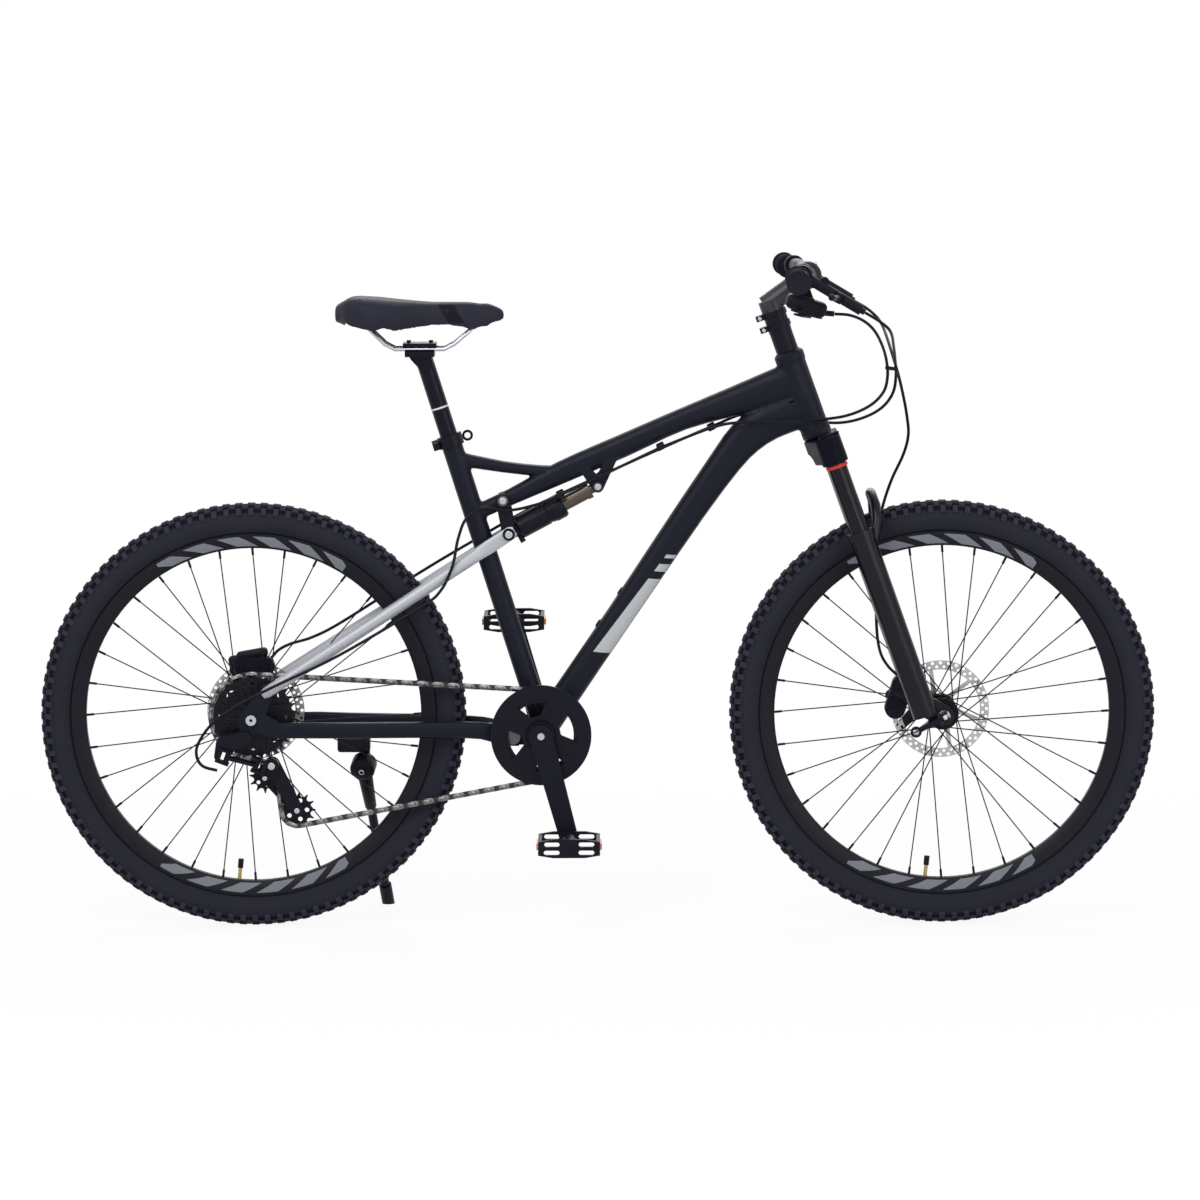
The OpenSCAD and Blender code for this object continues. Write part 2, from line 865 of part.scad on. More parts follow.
module stem() {
  low = stem_low;
  color(black)
    on_steering()
      difference() {
        union() {
          translate([0, 0, low])
            cylinder(d = steerer_d + 9, h = stem_h + 8);
          // Two clamp bands with their rear pinch bolts
          for (z = [low + 6, low + 26]) {
            translate([0, 0, z])
              cylinder(d = steerer_d + 13, h = 9);
            translate([-31, -11, z])
              cube([18, 22, 9]);
          }
          rod([-10, 0, low + 46], [bar_at[0] - 14, 0, bar_at[1] - 5], 34);
          translate([bar_at[0], 25, bar_at[1]])
            rotate([90, 0, 0])
              cylinder(d = 44, h = 50);
        }
        translate([0, 0, low - 1])
          cylinder(d = steerer_d + 2 * weld, h = stem_h - 4);
        translate([bar_at[0], 50, bar_at[1]])
          rotate([90, 0, 0])
            cylinder(d = 31.8 + 2 * weld, h = 100);
        translate([-40, -1, low - 1])
          cube([28, 2, 40]);
      }
  // Spacers between the head bearing and the stem
  color(rubber)
    on_steering()
      for (k = [0 : 2])
        translate([0, 0, spacer_low + k * (stem_low - spacer_low) / 3])
          difference() {
            cylinder(d = steerer_d + 8, h = (stem_low - spacer_low) / 3 - weld);
            translate([0, 0, -1])
              cylinder(d = steerer_d + 2 * weld, h = 40);
          }
}

// Left half of the handlebar in the steering frame: middle, rise and swept-back end
bar_bend = [bar_at[0] - 6, 115, bar_at[1] + 13];
bar_tip = [bar_at[0] - 24, bar_w / 2, bar_at[1] + 12];

function flip(p) = [p[0], -p[1], p[2]];
function on_bar(y) = lerp(bar_bend, bar_tip, (y - bar_bend[1]) / (bar_tip[1] - bar_bend[1]));

module handlebar() {
  half = [
    [bar_at[0], 8, bar_at[1], 31.8], [bar_at[0], 30, bar_at[1], 31.8],
    [bar_at[0], 42, bar_at[1] + 1, 27], [bar_at[0] - 1, 60, bar_at[1] + 3, bar_d],
    [bar_at[0] - 4, 94, bar_at[1] + 11.4, bar_d], concat(bar_bend, bar_d),
    concat(on_bar(145), bar_d), concat(on_bar(230), bar_d), concat(bar_tip, bar_d)
  ];
  whole = concat(
    [for (i = [len(half) - 1 : -1 : 0]) [half[i][0], -half[i][1], half[i][2], half[i][3]]],
    half
  );
  color(black)
    on_steering()
      skin([
        for (i = [0 : len(whole) - 1])
          let (
            p = [for (k = [0 : 2]) whole[i][k]],
            a = max(i - 1, 0),
            b = min(i + 1, len(whole) - 1),
            t = unit([for (k = [0 : 2]) whole[b][k] - whole[a][k]]),
            u = unit([1, 0, 0] - t * t[0]),
            v = cross(t, u)
          )
            [
              for (j = [0 : 15])
                p + whole[i][3] / 2 * (u * cos(22.5 * j) + v * sin(22.5 * j))
            ]
      ]);
}

module grips() {
  color(rubber)
    on_steering()
      for (s = [1, -1])
        let (
          a = s > 0 ? on_bar(bar_w / 2 - grip_len) : flip(on_bar(bar_w / 2 - grip_len)),
          b = s > 0 ? bar_tip : flip(bar_tip)
        )
          along(a, b)
            difference() {
              union() {
                cylinder(d = grip_d, h = norm(b - a) + 4);
                cylinder(d = grip_d + 5, h = 5);
                translate([0, 0, norm(b - a) - 1])
                  cylinder(d = grip_d + 4, h = 5);
              }
              translate([0, 0, -1])
                cylinder(d = bar_d + 2 * weld, h = norm(b - a) + 1 + weld);
            }
}

// Brake levers: the clamp, the master cylinder that points ahead and down, and the blade
brake_y = 185;
lever_pivot = [bar_at[0] + 30, brake_y + 13, bar_at[1] - 40];
lever_tip = [bar_at[0] + 18, brake_y + 110, bar_at[1] - 30];
lever_axis = unit([0.73, 0, 0.69]);
hose_out = [bar_at[0] + 58, brake_y, bar_at[1] - 72];

module brake_body() {
  ring_at = on_bar(brake_y);
  way = unit(bar_tip - bar_bend);
  difference() {
    union() {
      along(ring_at - way * 8, ring_at + way * 8)
        cylinder(d = bar_d + 10, h = 16);
      rod(ring_at + [8, 0, -10], hose_out, 17);
      rod(hose_out - [12, 0, -14.5], hose_out + [4, 0, -4.8], 10);
      // Reservoir knob, and the ears of the lever's pivot
      translate(ring_at + [30, -8, -22])
        rotate([90, 0, 0])
          cylinder(d = 15, h = 12, center = true);
      translate(lever_pivot)
        rotate([0, acos(lever_axis[2]), 0]) {
          cylinder(d = 14, h = 17, center = true);
          translate([-7, -12, -8.5])
            cube([14, 12, 17]);
        }
    }
    along(ring_at - way * 20, ring_at + way * 20)
      cylinder(d = bar_d + 2 * weld, h = 40);
    // Fork of the lever's pivot
    translate(lever_pivot)
      rotate([0, acos(lever_axis[2]), 0])
        cylinder(d = 19, h = 9, center = true);
  }
  translate(lever_pivot)
    rotate([0, acos(lever_axis[2]), 0])
      cylinder(d = 5, h = 17, center = true);
}

shift_y = 148;
pod_at = flip(on_bar(shift_y)) + [-12, 0, -56];

module control_bodies() {
  ring_at = flip(on_bar(shift_y));
  way = unit(flip(bar_tip) - flip(bar_bend));
  color(black)
    on_steering() {
      both_sides()
        brake_body();
      // Trigger shifter pod under the right side of the bar
      difference() {
        union() {
          along(ring_at - way * 7, ring_at + way * 7)
            cylinder(d = bar_d + 9, h = 14);
          translate(pod_at)
            rotate([0, 35, 0])
              cylinder(d = 52, h = 20, center = true);
          translate(pod_at + [-2, -7, 8])
            cube([16, 14, 38]);
          rod(pod_at + [15, 4, -12], pod_at + [37, 4, -22], 9);
        }
        along(ring_at - way * 20, ring_at + way * 20)
          cylinder(d = bar_d + 2 * weld, h = 40);
        translate(pod_at)
          rotate([0, 35, 0])
            translate([0, 0, -11])
              cylinder(d = 5.2, h = 14);
      }
    }
}

module brake_blade() {
  way = unit(lever_tip - lever_pivot);
  difference() {
    union() {
      translate(lever_pivot)
        rotate([0, acos(lever_axis[2]), 0])
          cylinder(d = 14, h = 8, center = true);
      rod(lever_pivot + way * 4, lever_tip, 8);
      translate(lever_tip)
        sphere(d = 11);
    }
    translate(lever_pivot)
      rotate([0, acos(lever_axis[2]), 0])
        cylinder(d = 5 + 2 * run, h = 20, center = true);
  }
}

module right_brake_lever() {
  color(black)
    on_steering()
      mirror([0, 1, 0])
        brake_blade();
}

module left_brake_lever() {
  color(black)
    on_steering()
      brake_blade();
}

module shift_lever() {
  color(black)
    on_steering()
      translate(pod_at)
        rotate([0, 35, 0]) {
          translate([0, 0, -13.4])
            linear_extrude(height = 3)
              link_2d([0, 0], 9, [-14, -46], 8);
          translate([0, 0, -13.4])
            cylinder(d = 5, h = 10);
        }
}

// Wheels

carcass_r = tyre_w / 2 - 1.5;
carcass_c = tyre_r - knob_h - carcass_r;
rim_in = rim_r - rim_depth;

// Rows of knobs on the tread: inner edge, outer edge, floor of the slots, top, and shift by part of a knob
tread_rows = [
  [-4, 4, tyre_r - knob_h + 0.5, tyre_r, 0],
  [6, 12, tyre_r - knob_h - 0.2, tyre_r, 0.5], [-12, -6, tyre_r - knob_h - 0.2, tyre_r, 0.5],
  [14, 20.5, tyre_r - knob_h - 3.7, tyre_r - 5, 0], [-20.5, -14, tyre_r - knob_h - 3.7, tyre_r - 5, 0]
];

module tyre() {
  wall = 2.5;
  slot = 14;
  difference() {
    rotate_extrude()
      difference() {
        union() {
          translate([carcass_c, 0])
            circle(r = carcass_r);
          for (row = tread_rows)
            translate([row[3] - 10, row[0]])
              square([10, row[1] - row[0]]);
        }
        translate([carcass_c, 0])
          circle(r = carcass_r - wall);
        translate([0, -tyre_w])
          square([rim_r + weld, 2 * tyre_w]);
      }
    // Cross slots part each row into knobs
    for (row = tread_rows, k = [0 : knob_count - 1])
      rotate((k + row[4]) * 360 / knob_count)
        translate([row[2], -slot / 2, row[0] - 0.6])
          cube([9, slot, row[1] - row[0] + 1.2]);
  }
}

module rim(valve_turn) {
  half = rim_w / 2;
  bed = rim_r - 12;
  rotate_extrude($fn = 96)
    polygon([
      [rim_r, half], [rim_r, half - 3], [rim_r - 8, half - 4], [bed, 4], [bed, -4],
      [rim_r - 8, 4 - half], [rim_r, 3 - half], [rim_r, -half],
      [rim_r - rim_depth * 0.6, 1 - half], [rim_in, -7], [rim_in, 7],
      [rim_r - rim_depth * 0.6, half - 1]
    ]);
  // Valve stem and cap
  rotate(valve_turn)
    translate([rim_in - 34, 0, 0])
      rotate([0, 90, 0]) {
        cylinder(d = 9, h = 15);
        translate([0, 0, 14])
          cylinder(d = 6, h = 24);
      }
}

flange_r = 26;
hole_r = 22;
flange_t = 3;

// Spokes laced three-cross, each with its elbow and head at the hub and nipple at the rim
module spokes(left_y, right_y) {
  per_side = spoke_count / 2;
  lace = 3 * 360 / per_side;
  for (i = [0 : spoke_count - 1]) {
    left = i % 2 == 0;
    outside = floor(i / 2) % 2 == 0;
    turn = i * 360 / spoke_count;
    flange = left ? left_y : right_y;
    out = (left ? 1 : -1) * (outside ? 1 : -1);
    lift = outside ? 1.3 : 0.15;
    y = flange + out * (flange_t / 2 + spoke_d / 2 + lift);
    hub_turn = turn + (outside ? lace : -lace);
    hub = [hole_r * cos(hub_turn), hole_r * sin(hub_turn), y];
    end_r = rim_in - 0.45;
    end = [end_r * cos(turn), end_r * sin(turn), left ? 2.5 : -2.5];
    way = unit(end - hub);
    union() {
      rod(hub - way * spoke_d * 0.4, end - way * 2, spoke_d);
      rod(end - way * 12, end, 4);
      translate([hub[0], hub[1], flange])
        mirror([0, 0, out > 0 ? 0 : 1]) {
          translate([0, 0, -flange_t / 2 - 1.2])
            cylinder(d = spoke_d, h = flange_t + 1.2 + lift + spoke_d);
          translate([0, 0, -flange_t / 2 - 1.5])
            cylinder(d = spoke_d + 2, h = 1.4);
        }
    }
  }
}

module hub_holes(left_y, right_y) {
  per_side = spoke_count / 2;
  lace = 3 * 360 / per_side;
  for (i = [0 : spoke_count - 1])
    let (turn = i * 360 / spoke_count + (floor(i / 2) % 2 == 0 ? lace : -lace))
      rotate(turn)
        translate([hole_r, 0, (i % 2 == 0 ? left_y : right_y) - flange_t])
          cylinder(d = spoke_d + 0.3, h = 2 * flange_t, $fn = 24);
}

front_left = 18;
front_right = -32;
rear_left = 31;
rear_right = -17;
freehub_r = 15.8;

module front_hub() {
  half = fork_in - weld;
  f = flange_t / 2;
  color(black)
    on_axle(front_axle)
      difference() {
        rotate_extrude()
          polygon([
            [2.9, -half], [9, -half], [9, -40], [15, -38], [17, front_right - f - 3],
            [18, front_right - f], [flange_r, front_right - f],
            [flange_r, front_right + f], [18, front_right + f],
            [15, front_right + f + 3], [14, -8], [15, front_left - f - 3],
            [18, front_left - f], [flange_r, front_left - f], [flange_r, front_left + f],
            [18, front_left + f], [18, front_left + f + 3], [21, front_left + f + 4],
            [21, front_rotor_y - weld],
            [17, front_rotor_y - weld], [17, front_rotor_y + 6], [9, 44], [9, half],
            [2.9, half]
          ]);
        hub_holes(front_left, front_right);
      }
}

module rear_hub() {
  half = rear_hub_w / 2 - weld;
  f = flange_t / 2;
  color(black)
    on_axle(rear_axle_at)
      difference() {
        rotate_extrude()
          polygon([
            [5.2, -half], [9, -half], [9, -64], [freehub_r, -63.5], [freehub_r, -21],
            [18, rear_right - f - 2.3], [18, rear_right - f], [flange_r, rear_right - f],
            [flange_r, rear_right + f], [18, rear_right + f], [17, rear_right + f + 4], [15, 4],
            [17, rear_left - f - 4], [18, rear_left - f], [flange_r, rear_left - f],
            [flange_r, rear_left + f], [18, rear_left + f], [18, rear_left + f + 3],
            [21, rear_left + f + 4],
            [21, rear_rotor_y - weld], [17, rear_rotor_y - weld],
            [17, rear_rotor_y + 6], [9, 61], [9, half], [5.2, half]
          ]);
        hub_holes(rear_left, rear_right);
      }
}

module rotor() {
  r = rotor_d / 2;
  band = 15;
  arms = 6;
  holes = 36;
  linear_extrude(height = rotor_t)
    difference() {
      union() {
        difference() {
          circle(r = r, $fn = 96);
          circle(r = r - band, $fn = 96);
          for (k = [0 : holes - 1])
            rotate(k * 360 / holes) {
              translate([r - 4, 0])
                circle(d = 5.4);
              rotate(180 / holes)
                translate([r - 10.4, 0])
                  circle(d = 5);
            }
        }
        circle(r = 26);
        for (k = [0 : arms - 1])
          rotate(k * 360 / arms)
            polygon([[20, -4], [r - band + 1, 16], [r - band + 1, 23], [20, 5]]);
      }
      circle(r = 17 + weld);
      for (k = [0 : arms - 1])
        rotate((k + 0.5) * 360 / arms)
          translate([22, 0])
            circle(d = 5);
    }
}

module front_tyre() {
  color(rubber)
    on_axle(front_axle)
      tyre();
}

module rear_tyre() {
  color(rubber)
    on_axle(rear_axle_at)
      tyre();
}

module front_rim() {
  color(black)
    on_axle(front_axle)
      rim(95.625);
}

module rear_rim() {
  color(black)
    on_axle(rear_axle_at)
      rim(95.625);
}

module front_spokes() {
  color(black)
    on_axle(front_axle)
      spokes(front_left, front_right);
}

module rear_spokes() {
  color(black)
    on_axle(rear_axle_at)
      spokes(rear_left, rear_right);
}

module front_rotor() {
  color(silver)
    translate([0, front_rotor_y, 0])
      on_axle(front_axle)
        rotor();
}

module rear_rotor() {
  color(silver)
    translate([0, rear_rotor_y, 0])
      on_axle(rear_axle_at)
        rotor();
}

// Rear triangle

drop_in = rear_hub_w / 2;
drop_t = 8;
drop_mid = drop_in + drop_t / 2;
stay_end = rear_axle_at + [44, -18];
arm_in = lug_w / 2 + 0.4;
arm_w = 12;

module chain_stays() {
  path = [
    [main_pivot[0] + 12, arm_in + arm_w / 2, main_pivot[1] - 1, arm_w, 30],
    [main_pivot[0], arm_in + arm_w / 2, main_pivot[1], arm_w, 32],
    [main_pivot[0] - 20, arm_in + arm_w / 2, main_pivot[1] + 3, arm_w, 31],
    [main_pivot[0] - 50, 36.6, main_pivot[1] + 10, 13, 28],
    [main_pivot[0] - 90, 42.5, main_pivot[1] + 13, 15, 27],
    [main_pivot[0] - 160, 54, main_pivot[1] + 14, 17, 26],
    [main_pivot[0] - 270, 65, main_pivot[1] + 15, 17, 26],
    [stay_end[0] + 60, drop_mid, stay_end[1], 14, 26],
    [stay_end[0], drop_mid, stay_end[1], drop_t, 25]
  ];
  bridge = [main_pivot[0] - 38, main_pivot[1] + 7];
  color(paint)
    difference() {
      union() {
        both_sides()
          tube(path, 0.6, 14);
        pin(bridge, 20, -32, 32);
      }
      pin(main_pivot, pivot_d + 2 * run, -60, 60);
    }
  // Kickstand bracket under the left stay, with the pin of the stand
  color(black) {
    translate([kick_at[0] - 26, 56, stay_end[1] - 26])
      cube([52, 40, 12.4]);
    rod(kick_web, [kick_web[0], kick_web[1], stay_end[1] - 20], 14);
    rod(kick_lug - kick_axis * 2.6, kick_lug + kick_axis * 9, 20);
    rod(kick_lug, kick_at - kick_axis * 15, kick_pin_d);
    rod(kick_at - kick_axis * 13.4, kick_at - kick_axis * 16.4, 15);
  }
}

hanger = rear_axle_at + [-10, -29];
rear_axle_d = 10;

module dropouts() {
  pin_d = 8;
  color(paint)
    difference() {
      union() {
        both_sides()
          slab(drop_in, drop_in + drop_t) {
            link_2d(rear_axle_at, 19, stay_pivot, 11.5);
            link_2d(rear_axle_at, 19, stay_end, 12.4);
          }
        // Derailleur hanger on the right, caliper tab on the left
        slab(-drop_in - drop_t, -drop_in)
          link_2d(rear_axle_at, 18, hanger, 10);
        slab(drop_in, drop_in + drop_t)
          link_2d(rear_axle_at, 18, rear_axle_at + [-24, 74], 9);
        slab(drop_in, drop_in + drop_t)
          link_2d(stay_pivot, 8, rear_axle_at + [14, 76], 8);
      }
      pin(rear_axle_at, rear_axle_d + 2 * weld, -100, 100);
      pin(stay_pivot, pin_d + 2 * run, -100, 100);
      pin(hanger, 8 + 2 * weld, -100, 0);
      translate([stay_end[0] - weld, -150, stay_end[1] - 30])
        cube([60, 300, 60]);
    }
}

module rear_axle() {
  out = drop_in + drop_t;
  color(silver)
    on_axle(rear_axle_at)
      difference() {
        union() {
          translate([0, 0, -out - 3])
            cylinder(d = rear_axle_d, h = 2 * out + 6);
          for (s = [-1, 1])
            translate([0, 0, s > 0 ? out + weld : -out - weld - 7])
              cylinder(d = 17, h = 7);
        }
        translate([0, 0, -out - 20])
          cylinder(d = 5.2, h = 2 * out + 40);
      }
}

module rear_caliper() {
  color(black) {
    caliper(rear_axle_at, 94, 41, 63.5, rear_rotor_y);
    // Feet that stand against the caliper tabs
    for (p = [[-24, 74], [14, 76]])
      pin(rear_axle_at + p, 14, 60, drop_in - weld);
  }
}

kick_at = [main_pivot[0] - 248, 72, main_pivot[1] - 62];
kick_tip = [kick_at[0] + 34, 212, 0];
kick_axis = unit([0.162, 0.865, 0.476]);
kick_lug = kick_at + kick_axis * 16;
kick_web = kick_lug + kick_axis * 5;
kick_pin_d = 8;

module kickstand() {
  color(black)
    difference() {
      union() {
        // The hinge barrel, and the leg that runs out to the ground
        rod(kick_at - kick_axis * 13, kick_at + kick_axis * 13, 26);
        rod(kick_at, lerp(kick_at, kick_tip, 0.9), 15);
        rod(lerp(kick_at, kick_tip, 0.86), kick_tip + (kick_tip - kick_at) * 0.04, 21);
      }
      translate([kick_tip[0] - 60, kick_tip[1] - 60, -40])
        cube([120, 120, 40]);
      rod(kick_at - kick_axis * 20, kick_at + kick_axis * 20, kick_pin_d + 2 * run);
    }
}

stay_open = 2.4;
foot_pin_d = 8;

module seat_stays() {
  span = stay_pivot - shock_foot;
  line = unit(span);
  stay_y = (stay_in + stay_out) / 2;
  function on_stay(t, y, w, d) =
    let (p = shock_foot + span * t)
      [p[0], y, p[1], w, d];
  path = [
    on_stay(-0.024, stay_y, 6, 15), on_stay(-0.01, stay_y, 6, 22), on_stay(0.085, stay_y, 6, 23),
    on_stay(0.13, stay_y + 2.5, 12, 21.5), on_stay(0.2, stay_y + 10, stay_d, stay_d + 0.5),
    on_stay(0.4, 50, stay_d, stay_d), on_stay(0.7, 62, stay_d, stay_d),
    on_stay(0.92, drop_mid, stay_d, stay_d), on_stay(1, drop_mid, stay_d, stay_d),
    on_stay(1.018, drop_mid, stay_d - 2, stay_d - 5)
  ];
  bridge = shock_foot + span * 0.27;
  color(silver)
    difference() {
      union() {
        both_sides()
          tube(path, 0.95, 16);
        pin(bridge, 14, -42, 42);
      }
      // Open holes of the front pivot, and the slots round the dropouts at the back
      pin(shock_foot, foot_pin_d + 2 * stay_open, -60, 60);
      both_sides()
        translate([stay_pivot[0], drop_mid, stay_pivot[1]])
          rotate([0, -heading(-line), 0])
            translate([-30, -drop_t / 2 - gap, -20])
              cube([52, drop_t + 2 * gap, 40]);
    }
  color(silver)
    both_sides()
      pin(stay_pivot, 8, drop_mid - stay_d / 2 + 1, drop_mid + stay_d / 2 + 1);
}

module rocker() {
  color(paint)
    difference() {
      union() {
        both_sides()
          slab(rocker_in, rocker_out)
            link_2d(rocker_pivot, 11.5, shock_foot, 11);
        pin(shock_foot, foot_pin_d, -stay_out - 2, stay_out + 2);
        both_sides()
          pin(shock_foot, 20, stay_out + gap, stay_out + 3.5);
      }
      pin(rocker_pivot, rocker_axle_d + 2 * run, -60, 60);
    }
}

can_start = 17;
can_len = 84;
shock_slack = 2;
eye_w = 2 * (rocker_in - gap);

module on_shock() {
  translate([shock_foot[0], 0, shock_foot[1]])
    rotate([0, 90 - shock_rise, 0])
      children();
}

module shock_can() {
  depth = 76;
  color(black)
    on_shock()
      difference() {
        union() {
          rotate([90, 0, 0])
            cylinder(d = 23, h = eye_w, center = true);
          translate([0, 0, 6])
            cylinder(d = 24, h = can_start - 2);
          translate([0, 0, can_start])
            rotate_extrude()
              polygon([
                [0, 0], [can_d / 2 - 3, 0], [can_d / 2, 3], [can_d / 2, 52],
                [can_d / 2 - 1.2, 53], [can_d / 2 - 1.2, 56], [can_d / 2, 57],
                [can_d / 2, 62], [can_d / 2 + 1.5, 63], [can_d / 2 + 1.5, can_len - 4],
                [can_d / 2 - 1, can_len], [0, can_len]
              ]);
          // Air valve below the lower eye
          translate([7, 0, 14])
            rotate([0, 90, 0])
              cylinder(d = 9, h = 17);
        }
        rotate([90, 0, 0])
          cylinder(d = foot_pin_d + 2 * run, h = 60, center = true);
        translate([0, 0, can_start + can_len - depth])
          cylinder(d = shaft_d + 2 * shock_slack, h = depth + 1);
      }
}

module shock_shaft() {
  inside = 34;
  color(bronze)
    on_shock()
      difference() {
        union() {
          translate([0, 0, can_start + can_len - inside])
            cylinder(d = shaft_d, h = shock_len - can_start - can_len + inside - 14);
          translate([0, 0, shock_len - 22])
            cylinder(d = shaft_d + 3, h = 8);
          translate([0, 0, shock_len - 15])
            cylinder(d = 15, h = 12);
          translate([0, 0, shock_len])
            rotate([90, 0, 0])
              cylinder(d = 19, h = 2 * (yoke_in - gap), center = true);
        }
        translate([0, 0, shock_len])
          rotate([90, 0, 0])
            cylinder(d = 8 + 2 * run, h = 60, center = true);
      }
}

// Drivetrain

link_pitch = 12.7;
roller_d = 7.7;
tooth_t = 1.9;
inner_gap = 2.9;
plate_t = 0.9;
link_slack = 0.24;
cog_teeth = [34, 28, 24, 21, 18, 15, 13, 11];
guide_teeth = 11;
tension_teeth = 13;

function pitch_r(n) = link_pitch / (2 * sin(180 / n));

// Tooth outline whose roller seats start at a given turn
function teeth(n, phase) =
  let (r = pitch_r(n), seat = roller_d / 2 + 0.55, tip = r + 3.5, half = 180 / n)
    [
      for (i = [0 : n - 1])
        let (a = phase + i * 360 / n, u = [cos(a), sin(a)], v = [-sin(a), cos(a)])
          each concat(
            [
              for (b = [-70, -24, 24, 70])
                r * u + seat * (v * sin(b) - u * cos(b))
            ],
            [
              for (k = [-1, 1])
                let (c = a + half)
                  tip * [cos(c), sin(c)] + k * 0.9 * [-sin(c), cos(c)]
            ]
          )
    ];

// The derailleur's cage swings about its upper pivot until the chain loop closes on whole links
cage_pivot = rear_axle_at + [31, -78];
guide_arm = [-10.5, -23.5];
tension_arm = [45.5, -73];
chain_links = 116;

// A loop of four wheels: centre, radius, teeth and sense (1 is anticlockwise seen from the drive side)
function wheels(a) = [
  [bb, pitch_r(ring_teeth), ring_teeth, -1, -chainline],
  [cage_pivot + turned(tension_arm, a), pitch_r(tension_teeth), tension_teeth, -1, -cog_line],
  [cage_pivot + turned(guide_arm, a), pitch_r(guide_teeth), guide_teeth, 1, -cog_line],
  [rear_axle_at, pitch_r(cog_teeth[0]), cog_teeth[0], -1, -cog_line]
];
function run_to(p, q) =
  let (w = q[0] - p[0], k = q[3] * q[1] - p[3] * p[1], l = sqrt(w * w - k * k))
    [heading(w) - atan2(k, l), l];
function wrap(a) = a - 360 * floor(a / 360);
function wheel_turn(w, i) =
  let (in = run_to(w[(i + 3) % 4], w[i])[0], out = run_to(w[i], w[(i + 1) % 4])[0])
    w[i][3] > 0 ? wrap(out - in) : wrap(in - out);
function loop_links(w) =
  sum([for (i = [0 : 3]) run_to(w[i], w[(i + 1) % 4])[1] / link_pitch
    + wheel_turn(w, i) * w[i][2] / 360]);
function sum(v, i = 0) = i == len(v) ? 0 : v[i] + sum(v, i + 1);
function cage_fit(lo, hi, n) =
  let (mid = (lo + hi) / 2)
    n == 0 ? mid
    : loop_links(wheels(mid)) > chain_links ? cage_fit(mid, hi, n - 1)
    : cage_fit(lo, mid, n - 1);
cage_turn = cage_fit(-40, 40, 40);
loop = wheels(cage_turn);

// Links passed when the chain reaches each wheel and leaves it
function reach(i) =
  i == 0 ? 0
  : reach(i - 1) + wheel_turn(loop, i - 1) * loop[i - 1][2] / 360
    + run_to(loop[i - 1], loop[i])[1] / link_pitch;
starts = [for (i = [0 : 3]) reach(i)];
arcs = [for (i = [0 : 3]) wheel_turn(loop, i) * loop[i][2] / 360];

// Where the chain touches a wheel, as a turn about its centre
function touch_turn(i) = run_to(loop[(i + 3) % 4], loop[i])[0] - 90 * loop[i][3];
function rim_point(i, s) =
  loop[i][0] + loop[i][1] * [
    cos(touch_turn(i) + loop[i][3] * s * 360 / loop[i][2]),
    sin(touch_turn(i) + loop[i][3] * s * 360 / loop[i][2])
  ];
// The side step between the ring and the cog starts two links after a wheel and ends two before
function pin_at(k, i = 3) =
  k < starts[i] ? pin_at(k, i - 1)
  : k - starts[i] <= arcs[i] ? let (p = rim_point(i, k - starts[i])) [p[0], loop[i][4], p[1]]
  : let (
    next = loop[(i + 1) % 4],
    way = run_to(loop[i], next),
    s = k - starts[i] - arcs[i],
    p = rim_point(i, arcs[i]) + s * link_pitch * [cos(way[0]), sin(way[0])],
    t = min(max((s - 2) / (way[1] / link_pitch - 4), 0), 1)
  )
    [p[0], lerp(loop[i][4], next[4], t), p[1]];
// Turn of a roller seat on a wheel
function seat_turn(i) =
  touch_turn(i) + loop[i][3] * (ceil(starts[i]) - starts[i]) * 360 / loop[i][2];

module sprocket(i, y, t = tooth_t) {
  translate([loop[i][0][0], y + t / 2, loop[i][0][1]])
    rotate([90, 0, 0])
      linear_extrude(height = t)
        difference() {
          polygon(teeth(loop[i][2], seat_turn(i)));
          children();
        }
}

function oval(l, r) = [
  for (a = [-90 : 60 : 90]) [l + r * cos(a), r * sin(a)],
  for (a = [90 : 60 : 270]) [r * cos(a), r * sin(a)]
];

// One link from pin a to pin b: inner links carry the rollers and outer links the pins
module chain_link(a, b, outer) {
  v = b - a;
  h = heading([v[0], v[2]]);
  y0 = outer ? inner_gap / 2 + plate_t + link_slack : inner_gap / 2;
  pin_d = 3.4;
  bore = pin_d + 2 * link_slack;
  translate(a)
    rotate([0, 0, abs(v[1]) < 0.001 ? 0 : asin(v[1] / (norm(v) * cos(h)))])
      rotate([0, -h, 0]) {
        both_sides()
          slab(y0, y0 + plate_t)
            difference() {
              polygon(oval(norm(v), outer ? 4 : 4.2));
              if (!outer)
                for (x = [0, norm(v)])
                  translate([x, 0])
                    circle(d = bore);
            }
        for (x = [0, norm(v)])
          if (outer)
            pin([x, 0], pin_d, -y0 - plate_t - 0.4, y0 + plate_t + 0.4);
          else
            difference() {
              pin([x, 0], roller_d, -y0, y0);
              pin([x, 0], bore, -10, 10);
            }
      }
}

module chain() {
  color(steel)
    for (k = [0 : chain_links - 1])
      chain_link(pin_at(k), pin_at((k + 1) % chain_links), k % 2 == 0);
}

ring_bolt_r = 60;
arm_turns = [for (k = [0 : 3]) crank_turn + 45 + k * 90];
spider_out = chainline + 5.6;

module chainring() {
  color(steel)
    sprocket(0, -chainline) {
      circle(r = ring_bolt_r - 7);
      for (a = arm_turns)
        rotate(a)
          translate([ring_bolt_r, 0])
            circle(d = 8);
    }
}

